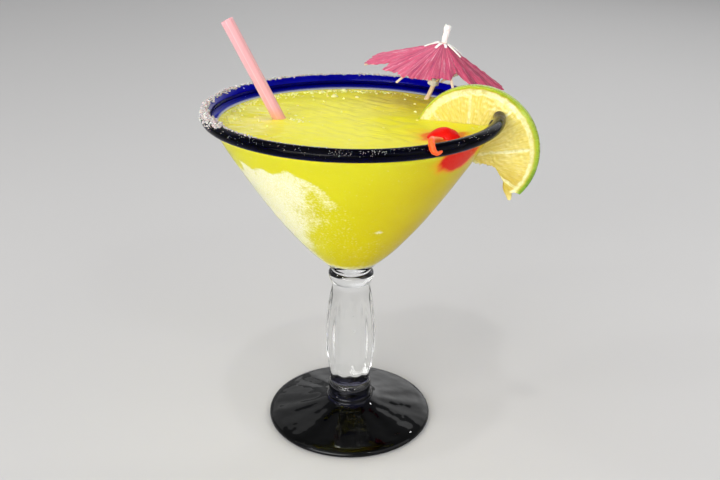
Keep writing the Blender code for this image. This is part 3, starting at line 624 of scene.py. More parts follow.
def drink_finish(settings):
    """The blended drink: yellow, with painted shade in gold at the lower right, frost and ice,
    the cherry's red painted as if seen through it, and a painted highlight, all by attributes.
    """
    finish = Finish("margarita_drink")
    cloud = finish.noise(finish.place, 45.0, 4.0)
    grain = finish.noise(finish.place, 900.0, 3.0, 0.7)
    fleck = finish.noise(finish.place, 2100.0, 2.0)
    height = finish.axis("Z")
    light = finish.span(height, 0.120, 0.1425)
    base = finish.mix(light, settings.yellow, (0.72, 0.68, 0.02))
    base = finish.mix(finish.span(height, 0.1422, 0.1432), base, (0.83, 0.775, 0.020))
    # Painted shade: the drink is turned gold towards the lower right, and a little on top
    base = finish.mix(finish.attribute("shaded_gold"), base, settings.shaded_gold)
    light = finish.span(cloud, 0.35, 0.75, 0.0, 0.30)
    base = finish.mix(light, base, (0.80, 0.76, 0.030))

    edge = finish.span(grain, 0.25, 0.75, -0.45, 0.45)
    frosted = finish.maths("ADD", finish.attribute("frost"), edge)
    frosted = finish.span(frosted, 0.22, 0.95, 0.0, 0.96)
    frost = finish.mix(finish.span(fleck, 0.35, 0.60), (0.86, 0.82, 0.30), settings.frost)
    base = finish.mix(frosted, base, frost)

    streak = finish.noise(finish.scaled(finish.place, (70.0, 190.0, 60.0)), 1.0, 4.0, 0.6, 1.2)
    fan = finish.noise(finish.scaled(finish.uv, (210.0, 9.0, 1.0)), 1.0, 3.0, 0.6, 0.6)
    icy = finish.maths("MAXIMUM", finish.span(streak, 0.42, 0.75), finish.span(fan, 0.5, 0.7))
    icy = finish.maths("MULTIPLY", finish.attribute("ice"), icy)
    base = finish.mix(icy, base, settings.ice)

    # Painted: the cherry's red, as if seen through the drink, round the cherry and at the wall
    cherry_show_through = finish.attribute("cherry_show_through")
    base = finish.mix(finish.span(cherry_show_through, 0.0, 0.40), base, (0.86, 0.36, 0.010))
    base = finish.mix(finish.span(cherry_show_through, 0.30, 0.72), base, (0.80, 0.010, 0.001))
    finish.set(Base_Color=base, Roughness=finish.span(grain, 0.3, 0.7, 0.30, 0.50))
    finish.set(Subsurface_Weight=0.35, Subsurface_Radius=(0.9, 0.8, 0.12))
    finish.set(Subsurface_Scale=0.004, IOR=1.35, Specular_IOR_Level=0.15)
    finish.set(Coat_Weight=0.04, Coat_Roughness=0.10)
    rough = finish.bump(fleck, 0.00003, 0.6)
    rough = finish.bump(grain, 0.00007, 0.6, rough)
    finish.set(Normal=finish.bump(cloud, 0.00030, 0.4, rough))
    return finish.material


def foam_finish():
    """Thin-walled bubbles of the drink."""
    finish = Finish("drink_foam")
    film = finish.noise(finish.place, 700.0, 2.0)
    tint = finish.mix(film, (0.86, 0.82, 0.18), (0.92, 0.90, 0.55))
    finish.set(Base_Color=tint, Roughness=0.10, IOR=1.25, Transmission_Weight=0.10)
    finish.set(Subsurface_Weight=0.3, Subsurface_Scale=0.001, Specular_IOR_Level=0.3)
    return finish.material


def ice_finish():
    """Crushed ice with drink between its grains."""
    finish = Finish("crushed_ice")
    cloudy = finish.noise(finish.place, 800.0, 3.0)
    tint = finish.mix(finish.span(cloudy, 0.3, 0.7), (0.84, 0.80, 0.16), (0.92, 0.89, 0.45))
    finish.set(Base_Color=tint, Roughness=0.45, IOR=1.31, Specular_IOR_Level=0.12)
    finish.set(Subsurface_Weight=0.2, Subsurface_Scale=0.001)
    return finish.material


def salt_finish(settings):
    """Coarse salt: white, cloudy inside, with a few clear crystals."""
    finish = Finish("salt")
    cloudy = finish.noise(finish.place, 1300.0, 2.0)
    tint = finish.mix(finish.span(cloudy, 0.35, 0.6), (0.46, 0.41, 0.39), settings.white)
    finish.set(Base_Color=tint, Roughness=0.25, IOR=1.54, Transmission_Weight=0.06)
    finish.set(Subsurface_Weight=0.25, Subsurface_Scale=0.0006)
    return finish.material


def straw_finish(settings):
    """Thin pink plastic, drawn lengthwise, with drink soaked up at its foot."""
    finish = Finish("pink_plastic")
    lines = finish.noise(finish.scaled(finish.uv, (22.0, 0.7, 1.0)), 1.0, 2.0)
    pale = tuple(min(1.0, channel * 1.02 + 0.14) for channel in settings.pink)
    tint = finish.mix(finish.span(lines, 0.45, 0.60), settings.pink, pale)
    height = finish.axis("Z")
    soaked = finish.span(height, 0.1492, 0.1438, 0.0, 0.75)
    tint = finish.mix(soaked, tint, (1.0, 0.42, 0.16))
    finish.set(Base_Color=tint, Roughness=0.42, IOR=1.42, Transmission_Weight=0.15)
    finish.set(Subsurface_Weight=0.45, Subsurface_Radius=(1.0, 0.5, 0.5))
    finish.set(Subsurface_Scale=0.0012, Coat_Weight=0.08, Coat_Roughness=0.15)
    finish.set(Normal=finish.bump(lines, 0.00005, 0.5))
    return finish.material


def lime_frame():
    """The slice's frame: X along the slice, Y up and Z out of its face."""
    along = Vector((math.cos(LIME_TURN), -math.sin(LIME_TURN), 0.0))
    upwards = Vector((0.0, 0.0, 1.0))
    made = Matrix((along, upwards, along.cross(upwards))).transposed().to_4x4()
    made.translation = Vector(LIME_CENTRE)
    return made


def lime_finish(settings):
    """Juice sacs drawn out along the radius, pale pith and membranes, and pitted skin."""
    finish = Finish("lime")
    flat = lime_frame()
    turn = flat.to_euler()
    mapping = finish.node("ShaderNodeMapping", {"Vector": finish.place}, vector_type="TEXTURE")
    mapping.inputs["Location"].default_value = flat.translation
    mapping.inputs["Rotation"].default_value = turn
    apart = finish.node("ShaderNodeSeparateXYZ", {"Vector": mapping.outputs["Vector"]})
    x = finish.maths("SUBTRACT", apart.outputs["X"], float(LIME_CORE[0]))
    y = finish.maths("SUBTRACT", apart.outputs["Y"], float(LIME_CORE[1]))
    angle = finish.maths("ARCTAN2", y, x)
    radius = finish.maths("SQRT", finish.maths("ADD", finish.maths("MULTIPLY", x, x),
                                               finish.maths("MULTIPLY", y, y)))
    polar = finish.node("ShaderNodeCombineXYZ")
    finish.give(polar.inputs["X"], finish.maths("MULTIPLY", angle, 15.0))
    finish.give(polar.inputs["Y"], finish.maths("MULTIPLY", radius, 115.0))
    finish.give(polar.inputs["Z"], finish.maths("MULTIPLY", apart.outputs["Z"], 300.0))
    ways = polar.outputs["Vector"]
    bent = finish.node("ShaderNodeVectorMath", operation="ADD")
    finish.give(bent.inputs[0], ways)
    wobble = finish.node("ShaderNodeTexNoise", {"Vector": ways, "Scale": 0.9, "Detail": 2.0})
    finish.give(bent.inputs[1], wobble.outputs["Color"])
    sacs = finish.cells(bent.outputs["Vector"], 1.25, "F1")
    seams = finish.cells(bent.outputs["Vector"], 1.25, "DISTANCE_TO_EDGE")
    glow = finish.noise(ways, 1.7, 3.0, 0.6, 0.4)

    pulp = finish.mix(finish.span(glow, 0.35, 0.68), settings.pulp, (0.76, 0.65, 0.17))
    pulp = finish.mix(finish.span(seams, 0.0, 0.09, 0.45, 0.0), pulp, (0.76, 0.69, 0.30))
    wet = finish.attribute("wet")
    # Darker and more golden towards the bottom of the slice
    pulp = finish.mix(finish.span(wet, 0.0, 1.0, 0.0, 0.6), pulp, (0.50, 0.35, 0.02))
    pith = finish.mix(
        finish.span(finish.noise(finish.place, 600.0, 3.0), 0.4, 0.7),
        settings.pith,
        (0.60, 0.54, 0.17),
    )
    pores = finish.cells(finish.place, 1100.0)
    shade = finish.noise(finish.place, 110.0, 3.0)
    green = finish.attribute("green")
    skin = finish.mix(finish.span(shade, 0.3, 0.7), settings.skin, (0.22, 0.38, 0.010))
    skin = finish.mix(green, (0.50, 0.54, 0.03), skin)
    skin = finish.mix(finish.span(pores, 0.12, 0.30, 0.35, 0.0), skin, (0.03, 0.13, 0.006))
    base = finish.mix(finish.attribute("pith"), pulp, pith)
    rind = finish.attribute("rind")
    base = finish.mix(finish.span(rind, 0.0, 0.5), base, (0.50, 0.47, 0.035))
    base = finish.mix(finish.span(rind, 0.45, 1.0), base, skin)
    finish.set(Base_Color=base, Roughness=finish.span(glow, 0.3, 0.7, 0.16, 0.36), IOR=1.36)
    finish.set(Subsurface_Weight=0.45, Subsurface_Radius=(1.0, 0.85, 0.3))
    finish.set(Subsurface_Scale=0.0022, Coat_Weight=0.2, Coat_Roughness=0.08)
    height = finish.maths("SUBTRACT", finish.span(sacs, 0.0, 0.8, 1.0, 0.0),
                          finish.span(seams, 0.0, 0.07, 0.6, 0.0))
    bare = finish.maths("SUBTRACT", 1.0, finish.attribute("pith"))
    height = finish.maths("MULTIPLY", height, bare)
    rough = finish.bump(height, 0.00007, 0.5)
    dents = finish.maths("MULTIPLY", finish.span(pores, 0.05, 0.4), finish.attribute("rind"))
    finish.set(Normal=finish.bump(dents, 0.00012, 0.8, rough))
    return finish.material


def cherry_finish(settings):
    """Syrupy red skin with small bruises, and painted shade: darker in the folds of its bump."""
    finish = Finish("cherry_skin")
    fold_shade = finish.noise(finish.place, 260.0, 3.0)
    # Painted shade: the same noise lowers the bump, so the skin is painted darker in its hollows
    tint = finish.mix(finish.span(fold_shade, 0.35, 0.7), settings.red, (0.80, 0.010, 0.002))
    freckle = finish.noise(finish.place, 1500.0, 2.0)
    tint = finish.mix(finish.span(freckle, 0.62, 0.75, 0.0, 0.35), tint, (0.90, 0.08, 0.02))
    finish.set(Base_Color=tint, Roughness=0.45, IOR=1.38, Specular_IOR_Level=0.06)
    finish.set(Coat_Weight=0.14, Coat_Roughness=0.02)
    finish.set(Subsurface_Weight=0.35, Subsurface_Radius=(1.0, 0.1, 0.05))
    finish.set(Subsurface_Scale=0.0025, Normal=finish.bump(fold_shade, 0.0004, 0.5))
    return finish.material


def stalk_finish(settings):
    """The dyed stem: darker lengthwise lines and pale, worn edges."""
    finish = Finish("cherry_stalk")
    lines = finish.noise(finish.scaled(finish.uv, (9.0, 3.0, 1.0)), 1.0, 3.0)
    tint = finish.mix(finish.span(lines, 0.35, 0.7), settings.stem_red, (0.95, 0.15, 0.015))
    finish.set(Base_Color=tint, Roughness=0.35, Coat_Weight=0.15, Coat_Roughness=0.06, IOR=1.38)
    finish.set(Subsurface_Weight=0.5, Subsurface_Radius=(1.0, 0.25, 0.1))
    finish.set(Subsurface_Scale=0.0012, Normal=finish.bump(lines, 0.0002, 0.6))
    return finish.material


def tissue_finish(settings):
    """Dyed tissue paper: pleats run out along the radius, with painted shade in their hollows,
    and pale tops, where dye is rubbed off and a highlight is painted.
    """
    finish = Finish("pink_paper")
    lines = finish.noise(finish.scaled(finish.uv, (150.0, 2.5, 1.0)), 1.0, 4.0, 0.65, 0.3)
    broad = finish.noise(finish.scaled(finish.uv, (34.0, 1.6, 1.0)), 1.0, 2.0)
    fibre = finish.noise(finish.place, 1700.0, 3.0, 0.7)
    deep = tuple(channel * 0.45 for channel in settings.pink)
    tint = finish.mix(finish.span(broad, 0.38, 0.62), deep, settings.pink)
    tint = finish.mix(finish.attribute("faded"), tint, (0.64, 0.115, 0.21))
    # Painted shade: dark where the pleats' bump is low
    tint = finish.mix(finish.span(lines, 0.46, 0.36, 0.0, 0.85), tint, (0.30, 0.018, 0.10))
    # Pale where the pleats' bump is high: dye rubbed off, and a painted highlight
    tint = finish.mix(finish.span(lines, 0.55, 0.70, 0.0, 0.85), tint, (0.88, 0.46, 0.56))
    tint = finish.mix(finish.span(fibre, 0.58, 0.75, 0.0, 0.3), tint, (0.85, 0.48, 0.56))
    finish.set(Base_Color=tint, Roughness=0.75, Specular_IOR_Level=0.25)
    finish.set(Subsurface_Weight=0.35, Subsurface_Radius=(1.0, 0.3, 0.4))
    finish.set(Subsurface_Scale=0.0006, Sheen_Weight=0.15)
    rough = finish.bump(fibre, 0.00004, 0.6)
    finish.set(Normal=finish.bump(lines, 0.00025, 0.8, rough))
    return finish.material


def paper_finish(settings):
    """White card and paper with visible fibres."""
    finish = Finish("white_paper")
    fibre = finish.noise(finish.scaled(finish.place, (1.0, 1.0, 0.25)), 1900.0, 3.0, 0.7)
    tint = finish.mix(finish.span(fibre, 0.3, 0.6), (0.70, 0.66, 0.60), settings.white)
    finish.set(Base_Color=tint, Roughness=0.8, Specular_IOR_Level=0.25)
    finish.set(Subsurface_Weight=0.2, Subsurface_Scale=0.0005)
    finish.set(Normal=finish.bump(fibre, 0.00008, 0.7))
    return finish.material


def wood_finish(settings):
    """Bare pale wood with its grain lengthwise."""
    finish = Finish("pale_wood")
    grain = finish.noise(finish.scaled(finish.uv, (14.0, 1.5, 1.0)), 1.0, 4.0, 0.6, 0.5)
    fibre = finish.noise(finish.place, 1500.0, 2.0)
    dark = tuple(channel * 0.72 for channel in settings.wood)
    tint = finish.mix(finish.span(grain, 0.3, 0.65), dark, settings.wood)
    tint = finish.mix(finish.span(fibre, 0.5, 0.8, 0.0, 0.4), tint, (0.95, 0.82, 0.66))
    finish.set(Base_Color=tint, Roughness=0.62)
    finish.set(Normal=finish.bump(grain, 0.00008, 0.6))
    return finish.material


# Pieces


def on_bead(glass, azimuth, around, lift):
    """Points on the rim: the azimuth, the angle round the bead and the height over it."""
    r = glass.bead_circle + (glass.bead + lift) * np.cos(around)
    z = glass.bead_height + (glass.bead + lift) * np.sin(around)
    return polar(r, azimuth, z)


def glass_points(glass):
    """The clear bowl and stem as one turned surface, which is what they are once fused. The
    radius is less by depth (1 - |cos(n a / 2)|) in the stem's flutes, and the whole is uneven
    by a few hundredths of a millimetre of smooth noise."""
    floor = through([(0.0, BOWL_FLOOR), (FLOOR_RADIUS * 0.5, BOWL_FLOOR),
                     (FLOOR_RADIUS, BOWL_FLOOR + 0.0003)], 4)
    inner = inside_wall(np.linspace(SIDE_START + 0.0006, 0.1452, 60), glass.wall)
    outer = inside_wall(np.linspace(0.1462, SIDE_START, 60), 0.0)
    lip = np.array([(glass.bead_circle - 0.0006, glass.bead_height - 0.0002)])
    stem = through(STEM_OUTLINE, 5)
    foot = np.array([(0.005, STEM_OUTLINE[-1][1] - 0.0001), (0.0, STEM_OUTLINE[-1][1] - 0.0001)])
    profile = np.concatenate([floor, inner, lip, outer, stem, foot])
    points = turned(profile, GLASS_COLUMNS)
    a = once_round(GLASS_COLUMNS)
    low, high = FLUTE_ENDS
    share = np.clip((profile[:, 1] - low) / (high - low), 0.0, 1.0)
    depth = glass.flute_depth * np.sin(math.pi * share) ** 0.6
    depth[: len(floor) + len(inner)] = 0.0
    dent = depth[:, None] * (1.0 - np.sqrt(np.cos(glass.flutes * a / 2) ** 2 + 0.02))
    dent = dent + 0.00003 * waves(points, 0.012, 3)
    r = np.maximum(profile[:, :1], 1e-6)
    points[..., :2] *= (1.0 - np.minimum(dent / r, 0.2) * (profile[:, :1] > 0.001))[..., None]
    return points


def seed_points(rng):
    """Places and sizes of the few small bubbles in the stem's glass."""
    count = 16
    a, z = rng.uniform(0, math.tau, count), rng.uniform(0.020, 0.071, count)
    r = rng.uniform(0.0015, 0.0072, count)
    return polar(r, a, z), rng.uniform(0.00012, 0.00034, count)


def ball(steps):
    """A unit ball as vertices and quads: a cube of steps by steps quads a side, with each
    vertex v moved to v / |v|."""
    i, j = np.meshgrid(np.arange(steps), np.arange(steps), indexing="ij")
    faces = []
    for axis in range(3):
        for side in (0, steps):
            ring = [(0, 0), (1, 0), (1, 1), (0, 1)][:: 1 if side else -1]
            face = np.empty((steps * steps, 4, 3), int)
            for k, (right, up) in enumerate(ring):
                face[:, k, axis] = side
                face[:, k, (axis + 1) % 3] = (i + right).ravel()
                face[:, k, (axis + 2) % 3] = (j + up).ravel()
            faces.append(face)
    corners = np.concatenate(faces)
    verts, index = np.unique(corners.reshape(-1, 3), axis=0, return_inverse=True)
    verts = verts * 2.0 / steps - 1.0
    verts /= np.linalg.norm(verts, axis=1, keepdims=True)
    return verts, index.reshape(-1, 4)


def rim_points(glass):
    """The cobalt bead: a ring whose thickness and height waver, as laid on by hand."""
    a, b = once_round(300), once_round(36)[:, None]
    circle = polar(1.0, a)
    swell = 1.0 + 0.020 * waves(circle, 0.9, 5)
    rise = 0.00006 * waves(circle, 1.4, 6)
    r = glass.bead_circle + glass.bead * swell * np.cos(b)
    z = glass.bead_height + rise + glass.bead * swell * np.sin(b)
    return polar(r, a, z)


def foot_points():
    """The cobalt foot: turned, with faint facets that run out along its radius."""
    top = through(FOOT_OUTLINE, 6)
    middle = np.array([(0.0, 0.0123)])
    under = np.array([(0.030, 0.0), (0.0, 0.0)])
    profile = np.concatenate([middle, top, under])
    points = turned(profile, FOOT_COLUMNS)
    a = once_round(FOOT_COLUMNS)
    r = profile[:, :1]
    facets = 0.00010 * np.cos(11 * a + 0.6) + 0.00008 * np.cos(17 * a)
    shape = smooth_step(0.011, 0.020, r) * (1 - smooth_step(0.033, 0.037, r))
    points[..., 2] += np.where(profile[:, 1:] > 0.0025, shape * facets, 0.0)
    return points


def drink_radius(drink, glass):
    """The drink's radius at its level: where its side, just inside the wall, reaches it."""
    side = inside_wall(np.linspace(SIDE_START, SIDE_END, 400), glass.wall - drink.into_wall)
    return float(np.interp(drink.level, side[:, 1], side[:, 0]))


def drink_surface(drink, glass, x, y):
    """Height of the drink at x, y: its level, a rise where it clings to the wall and to the
    pieces that stand in it, and noise at three scales for the slush."""
    flat = np.stack([x, y], -1)
    r = np.hypot(x, y)
    edge = drink_radius(drink, glass) - r
    rise = 0.0007 * np.exp(-edge / 0.0010)
    for centre, size in ((STRAW_AT_DRINK, 0.0026), (CHERRY_CENTRE, 0.0080)):
        away = np.maximum(np.hypot(x - centre[0], y - centre[1]) - size, 0.0)
        rise = rise + 0.0006 * np.exp(-away / 0.0012)
    slush = waves(flat, 0.016, 21) + 0.55 * waves(flat, 0.0065, 22)
    slush = slush + 0.30 * waves(flat * (0.6, 1.5), 0.0028, 23)
    return drink.level + rise + drink.ripple * slush * smooth_step(0.0, 0.004, edge)


def drink_values(points):
    """The drink's attributes: frost on the bowl's left with a painted highlight at the front, ice
    at the surface's left and back, painted shade in gold at the lower right, and the cherry's
    red painted as if seen through the drink, by the distance to it."""
    x, y, z = points[..., 0], points[..., 1], points[..., 2]
    azimuth = np.degrees(np.arctan2(y, x))
    turn = (azimuth + 360.0) % 360.0
    ragged = 2.2 * waves(points, 0.010, 31) + 0.8 * waves(points, 0.0035, 32)
    edge = np.interp(turn, (180, 205, 225, 243, 253, 258, 262, 268, 276),
                     (128, 131, 134, 136, 133, 130, 126, 118, 100))
    below = smooth_step(-0.8, 1.6, edge + 0.5 * ragged - z / MM)
    middle = np.interp(z, (0.085, 0.096, 0.110, 0.122, 0.132), (214, 228, 245, 254, 260))
    across = 1.0 - smooth_step(-20.0, 12.0, turn - middle + 1.8 * ragged)
    behind = smooth_step(150.0, 178.0, turn)
    floor = 0.80 * (1.0 - smooth_step(0.0800, 0.0845, z))
    frost = np.maximum(below * (0.12 + 0.88 * across) * behind, floor)
    # Painted highlight: a small white spot on the drink's side at the front, added to the frost
    highlight_spot = np.exp(-(((points - HIGHLIGHT_SPOT) / (0.0017, 0.0017, 0.0009)) ** 2).sum(-1))
    frost = np.maximum(frost, highlight_spot)
    top = z > SURFACE_FROM
    frost = np.where(top, 0.0, frost)

    r = np.hypot(x, y)
    left = smooth_step(-0.020, -0.048, x) * smooth_step(0.045, 0.010, np.abs(y + 0.002))
    rim = smooth_step(0.0500, 0.0560, r + 0.0014 * waves(points, 0.006, 33))
    back = rim * smooth_step(-0.020, 0.015, y)
    ice = np.clip(np.maximum(1.3 * left, 0.6 * back) + 0.08, 0.0, 1.0)
    ice = np.where(top, ice, 0.0)

    # Painted shade: gold towards the lower right, weaker on the surface
    shaded_gold = smooth_step(-0.012, 0.046, x + 0.45 * (0.120 - z)) * np.where(top, 0.12, 1.0)
    # Painted: the cherry's red as if seen through the drink, on the surface round it and in a
    # patch on the side at the wall
    away = np.linalg.norm(points - CHERRY_CENTRE, axis=-1) - CHERRY_RADIUS
    away = np.maximum(away - 0.0002 + 0.0004 * ragged, 0.0)
    cherry_show_through = 0.52 * np.exp(-away / 0.0024) * top
    seen = np.linalg.norm((points - CHERRY_SEEN) * (0.64, 0.64, 1.1), axis=-1)
    seen = 1.0 - smooth_step(0.0050, 0.0112, seen + 0.0003 * ragged)
    cherry_show_through = np.where(top, np.maximum(cherry_show_through, 0.7 * seen * smooth_step(0.0525, 0.0545, r)), seen)
    return {"frost": frost, "ice": ice, "shaded_gold": shaded_gold, "cherry_show_through": cherry_show_through}


def drink_part(drink, glass):
    """The drink: its side just inside the wall from the bowl's floor up, then its surface in
    to the axis, as one turned grid with the surface's height set by drink_surface."""
    heights = np.linspace(SIDE_START, SIDE_END, 96)
    side = inside_wall(heights, glass.wall - drink.into_wall)
    side = side[side[:, 1] < drink.level - 0.0004]
    floor = np.array([(0.0, BOWL_FLOOR - 0.0003), (0.003, BOWL_FLOOR - 0.0003),
                      (FLOOR_RADIUS, BOWL_FLOOR)])
    radius = drink_radius(drink, glass)
    share = np.concatenate([np.linspace(0, 0.12, 16), np.linspace(0.135, 1.0, 84)])
    top = np.stack([radius * (1.0 - share), np.full(len(share), drink.level)], -1)
    points = turned(np.concatenate([floor, side, top]), DRINK_COLUMNS)
    upper = points[-len(share):]
    upper[..., 2] = drink_surface(drink, glass, upper[..., 0], upper[..., 1])
    points[-1, :, 2] = points[-1, 0, 2]
    return grid_part(points, around=True, poles=(True, True), values=drink_values(points))


def foam_places(drink, glass, rng):
    """Bubbles by the straw and along the back edge, and a few strays."""
    edge = drink_radius(drink, glass)
    by_straw = STRAW_AT_DRINK[:2] + np.stack(
        [rng.normal(0.0075, 0.0030, 14), rng.normal(-0.0012, 0.0012, 14)], -1
    )
    a = np.radians(np.concatenate([rng.normal(101, 4, 22), rng.normal(86, 3, 10),
                                   rng.uniform(35, 175, 70), rng.uniform(180, 340, 14)]))
    r = edge - np.abs(rng.normal(0.0, 0.0020, len(a))) - 0.0008
    ring = polar(r, a)
    stray = rng.uniform(-0.045, 0.045, (24, 2))
    stray = stray[np.hypot(*stray.T) < edge - 0.004]
    flat = np.concatenate([by_straw, ring, stray])
    sizes = np.concatenate([rng.uniform(0.00025, 0.0007, 14), rng.gamma(2.0, 0.00022, len(a)),
                            rng.uniform(0.00012, 0.0003, len(stray))])
    sizes = np.clip(sizes, 0.00012, 0.0018)
    flat, sizes = np.concatenate([flat, BUBBLES[:, :2]]), np.r_[sizes, BUBBLES[:, 2]]
    z = drink_surface(drink, glass, flat[:, 0], flat[:, 1])
    return np.column_stack([flat, z - 0.35 * sizes]), sizes


def ice_places(drink, glass, rng):
    """Bits of crushed ice, mostly at the left and along the back edge."""
    edge = drink_radius(drink, glass)
    a = np.radians(np.concatenate([rng.uniform(60, 200, 260), rng.uniform(200, 420, 90)]))
    r = edge - 0.0006 - np.abs(rng.normal(0.0, 0.0028, len(a)))
    ring = polar(r, a)
    drift = np.stack([rng.normal(-0.042, 0.007, 26), rng.normal(-0.004, 0.014, 26)], -1)
    stray = rng.uniform(-0.05, 0.05, (30, 2))
    flat = np.concatenate([ring, drift, stray])
    flat = flat[np.hypot(*flat.T) < edge - 0.0005]
    sizes = rng.uniform(0.00014, 0.00046, len(flat))
    z = drink_surface(drink, glass, flat[:, 0], flat[:, 1])
    return np.column_stack([flat, z - 0.25 * sizes]), sizes


def salt_places(salt, glass, rng):
    """Salt on the rim: bands of azimuth, each with its count, its middle and spread round
    the bead, how deep the crystals lie on each other, and their size."""
    full = salt.crust
    bands = (
        (150, 215, full, 76, 36, 0.0010, 0.95),
        (163, 206, full // 4, 30, 26, 0.0004, 0.75),
        (112, 150, full * 2 // 5, 84, 24, 0.0008, 0.78),
        (66, 112, full // 2, 86, 20, 0.0006, 0.60),
        (40, 66, full // 12, 86, 16, 0.0003, 0.5),
        (215, 234, full // 7, 104, 20, 0.0003, 0.6),
        (234, 262, full // 10, 108, 16, 0.0001, 0.42),
        (262, 270, 34, 40, 34, 0.0000, 0.22),
        (272, 281, 44, 44, 34, 0.0000, 0.22),
        (281, 292, 26, 56, 28, 0.0000, 0.20),
        (205, 262, 70, 40, 44, 0.0000, 0.22),
        (292, 340, 30, 45, 44, 0.0000, 0.20),
    )
    centres, sizes = [], []
    for first, last, count, middle, spread, depth, scale in bands:
        azimuth = np.radians(rng.uniform(first, last, count))
        clump = 0.5 + 0.5 * np.sin(azimuth * 37.0) * np.sin(azimuth * 23.0 + 1.0)
        around = np.radians(rng.normal(middle, spread * 0.55, count))
        size = salt.grain * scale * rng.uniform(0.45, 1.0, count)
        lift = rng.uniform(0.0, 1.0, count) ** 1.6 * depth * (0.35 + 0.65 * clump) - 0.15 * size
        centres.append(on_bead(glass, azimuth, around, lift))
        sizes.append(size)
    return np.concatenate(centres), np.concatenate(sizes)


def straw_part(straw):
    """The straw: a closed profile of wall and rounded lips turned about its own axis, a
    little oval, and laid from its top down into the drink."""
    way = STRAW_AT_DRINK - STRAW_TOP
    way = way / np.linalg.norm(way)
    reach = (STRAW_TOP[2] - STRAW_END) / -way[2]
    inner, outer = straw.radius - straw.wall, straw.radius
    lip = 0.00012
    along = np.linspace(0.0012, reach - 0.0012, 60)
    down = np.stack([np.full(60, outer), along], -1)
    up = np.stack([np.full(60, inner), along[::-1]], -1)
    near = [
        (inner, lip * 1.5), (inner + lip * 0.5, 0.0), (outer - lip * 0.5, 0.0), (outer, lip * 1.5)
    ]
    far = [(outer, reach - lip), (outer - lip, reach), (inner + lip, reach), (inner, reach - lip)]
    profile = np.concatenate([near, down, far, up])
    a = once_round(64)
    r = profile[:, :1] * (1.0 + 0.018 * np.cos(2 * a + 0.4))
    side = np.cross(way, (0.0, 1.0, 0.0))
    side /= np.linalg.norm(side)
    other = np.cross(way, side)
    points = STRAW_TOP + way * profile[:, 1:][..., None]
    a = a[None, :, None]
    points = points + r[..., None] * (side * np.cos(a) + other * np.sin(a))
    return grid_part(points, around=True, loop=True)


def lime_reach(lime, angles):
    """The distance from the hub to the slice's outline at each angle: the furthest crossing
    of a ray with the segments of the outline, the rind's arc and the torn edge."""
    arc = np.radians(np.linspace(*LIME_ARC, 160))
    outline = np.concatenate([polar(lime.radius, arc), TORN_EDGE])
    start = outline - LIME_HUB
    step = np.roll(outline, -1, axis=0) - outline
    way = polar(1.0, angles)[:, None]
    spread = way[..., 0] * step[:, 1] - way[..., 1] * step[:, 0]
    spread = np.where(np.abs(spread) < 1e-12, 1e-12, spread)
    along = (start[:, 0] * step[:, 1] - start[:, 1] * step[:, 0]) / spread
    share = (start[:, 0] * way[..., 1] - start[:, 1] * way[..., 0]) / spread
    hit = (share >= -1e-6) & (share <= 1 + 1e-6) & (along > 0)
    return np.where(hit, along, 0.0).max(axis=1)


def lime_values(lime, flat):
    """The slice's attributes at points in its plane: pith and membranes, rind, the skin's
    green, and a share that makes the flesh darker and more golden towards the bottom."""
    r = np.hypot(flat[..., 0], flat[..., 1])
    core = flat - LIME_CORE
    angle = np.arctan2(core[..., 1], core[..., 0])
    away = np.hypot(core[..., 0], core[..., 1])
    off = np.abs((angle[..., None] - SEGMENT_EDGES + math.pi) % math.tau - math.pi)
    line = (off * away[..., None]).min(-1)
    wobble = 0.00018 * waves(flat, 0.004, 41)
    membrane = 1.0 - smooth_step(0.00036, 0.00080, line + wobble)
    heart = 1.0 - smooth_step(0.0009, 0.0022, away)
    ring = smooth_step(-0.0003, 0.0004, r - 0.0236 + 0.00016 * waves(flat, 0.003, 42))
    pith = np.clip(np.maximum(np.maximum(membrane, heart), ring), 0.0, 1.0)
    around = np.degrees(np.arctan2(flat[..., 1], flat[..., 0]))
    skin = np.interp(around, (-40, 0, 60, 110, 160), (0.0030, 0.0030, 0.0022, 0.0017, 0.0013))
    rind = smooth_step(lime.radius - skin, lime.radius - 0.30 * skin, r + 0.5 * wobble)
    green = smooth_step(190.0, 60.0, around) * (0.55 + 0.45 * smooth_step(20.0, -35.0, around))
    # Darker towards the bottom of the slice, below its middle
    wet = smooth_step(-0.002, -0.012, flat[..., 1] + 0.0010 * waves(flat, 0.006, 43))
    return {"pith": pith, "rind": rind, "green": green, "wet": wet}


def lime_part(lime):
    """The slice: rows run from the hub out over the front face, across the rind and back
    over the rear face. The faces are domed in each segment and sunk along the membranes."""
    columns, face = 400, 72
    angles = -math.pi / 2 + once_round(columns)
    way = polar(1.0, angles)
    reach = lime_reach(lime, angles)
    torn = np.abs(np.hypot(*(LIME_HUB + reach[:, None] * way).T) - lime.radius) > 0.0002
    reach = reach + np.where(torn, 0.00022 * waves(way, 0.11, 44), 0.0)
    half = lime.thickness / 2
    out = 1.0 - (1.0 - np.linspace(0, 1, face)) ** 1.25
    bend = np.radians(np.linspace(90, -90, 15))[1:-1]
    share = np.concatenate([out, np.ones(len(bend)), out[::-1]])
    bulge = np.concatenate([np.zeros(face), np.cos(bend), np.zeros(face)])
    side = np.concatenate([np.ones(face), np.sin(bend), -np.ones(face)])
    edge = 0.0006
    radius = share[:, None] * (reach - edge) + bulge[:, None] * edge
    flat = LIME_HUB + radius[..., None] * way
    values = lime_values(lime, flat)
    bare = 1.0 - values["pith"]
    dome = 0.00012 * bare - 0.00010 * values["pith"] * (1.0 - values["rind"])
    dome = dome + 0.00004 * bare * waves(flat, 0.0022, 45)
    dome = dome + 0.00022 * waves(flat, 0.018, 46)
    side = side[:, None]
    inner = (np.abs(side) > 0.999) * smooth_step(0.0, 0.0016, reach - edge - radius)
    depth = side * half + np.sign(side) * (dome * inner - 0.0002)
    local = np.concatenate([flat, depth[..., None]], -1)
    points = place(local, lime_frame())
    return grid_part(points, around=True, poles=(True, True), values=values)


def place(points, matrix):
    """Points carried by a 4 x 4 matrix."""
    matrix = np.array(matrix)
    return points @ matrix[:3, :3].T + matrix[:3, 3]


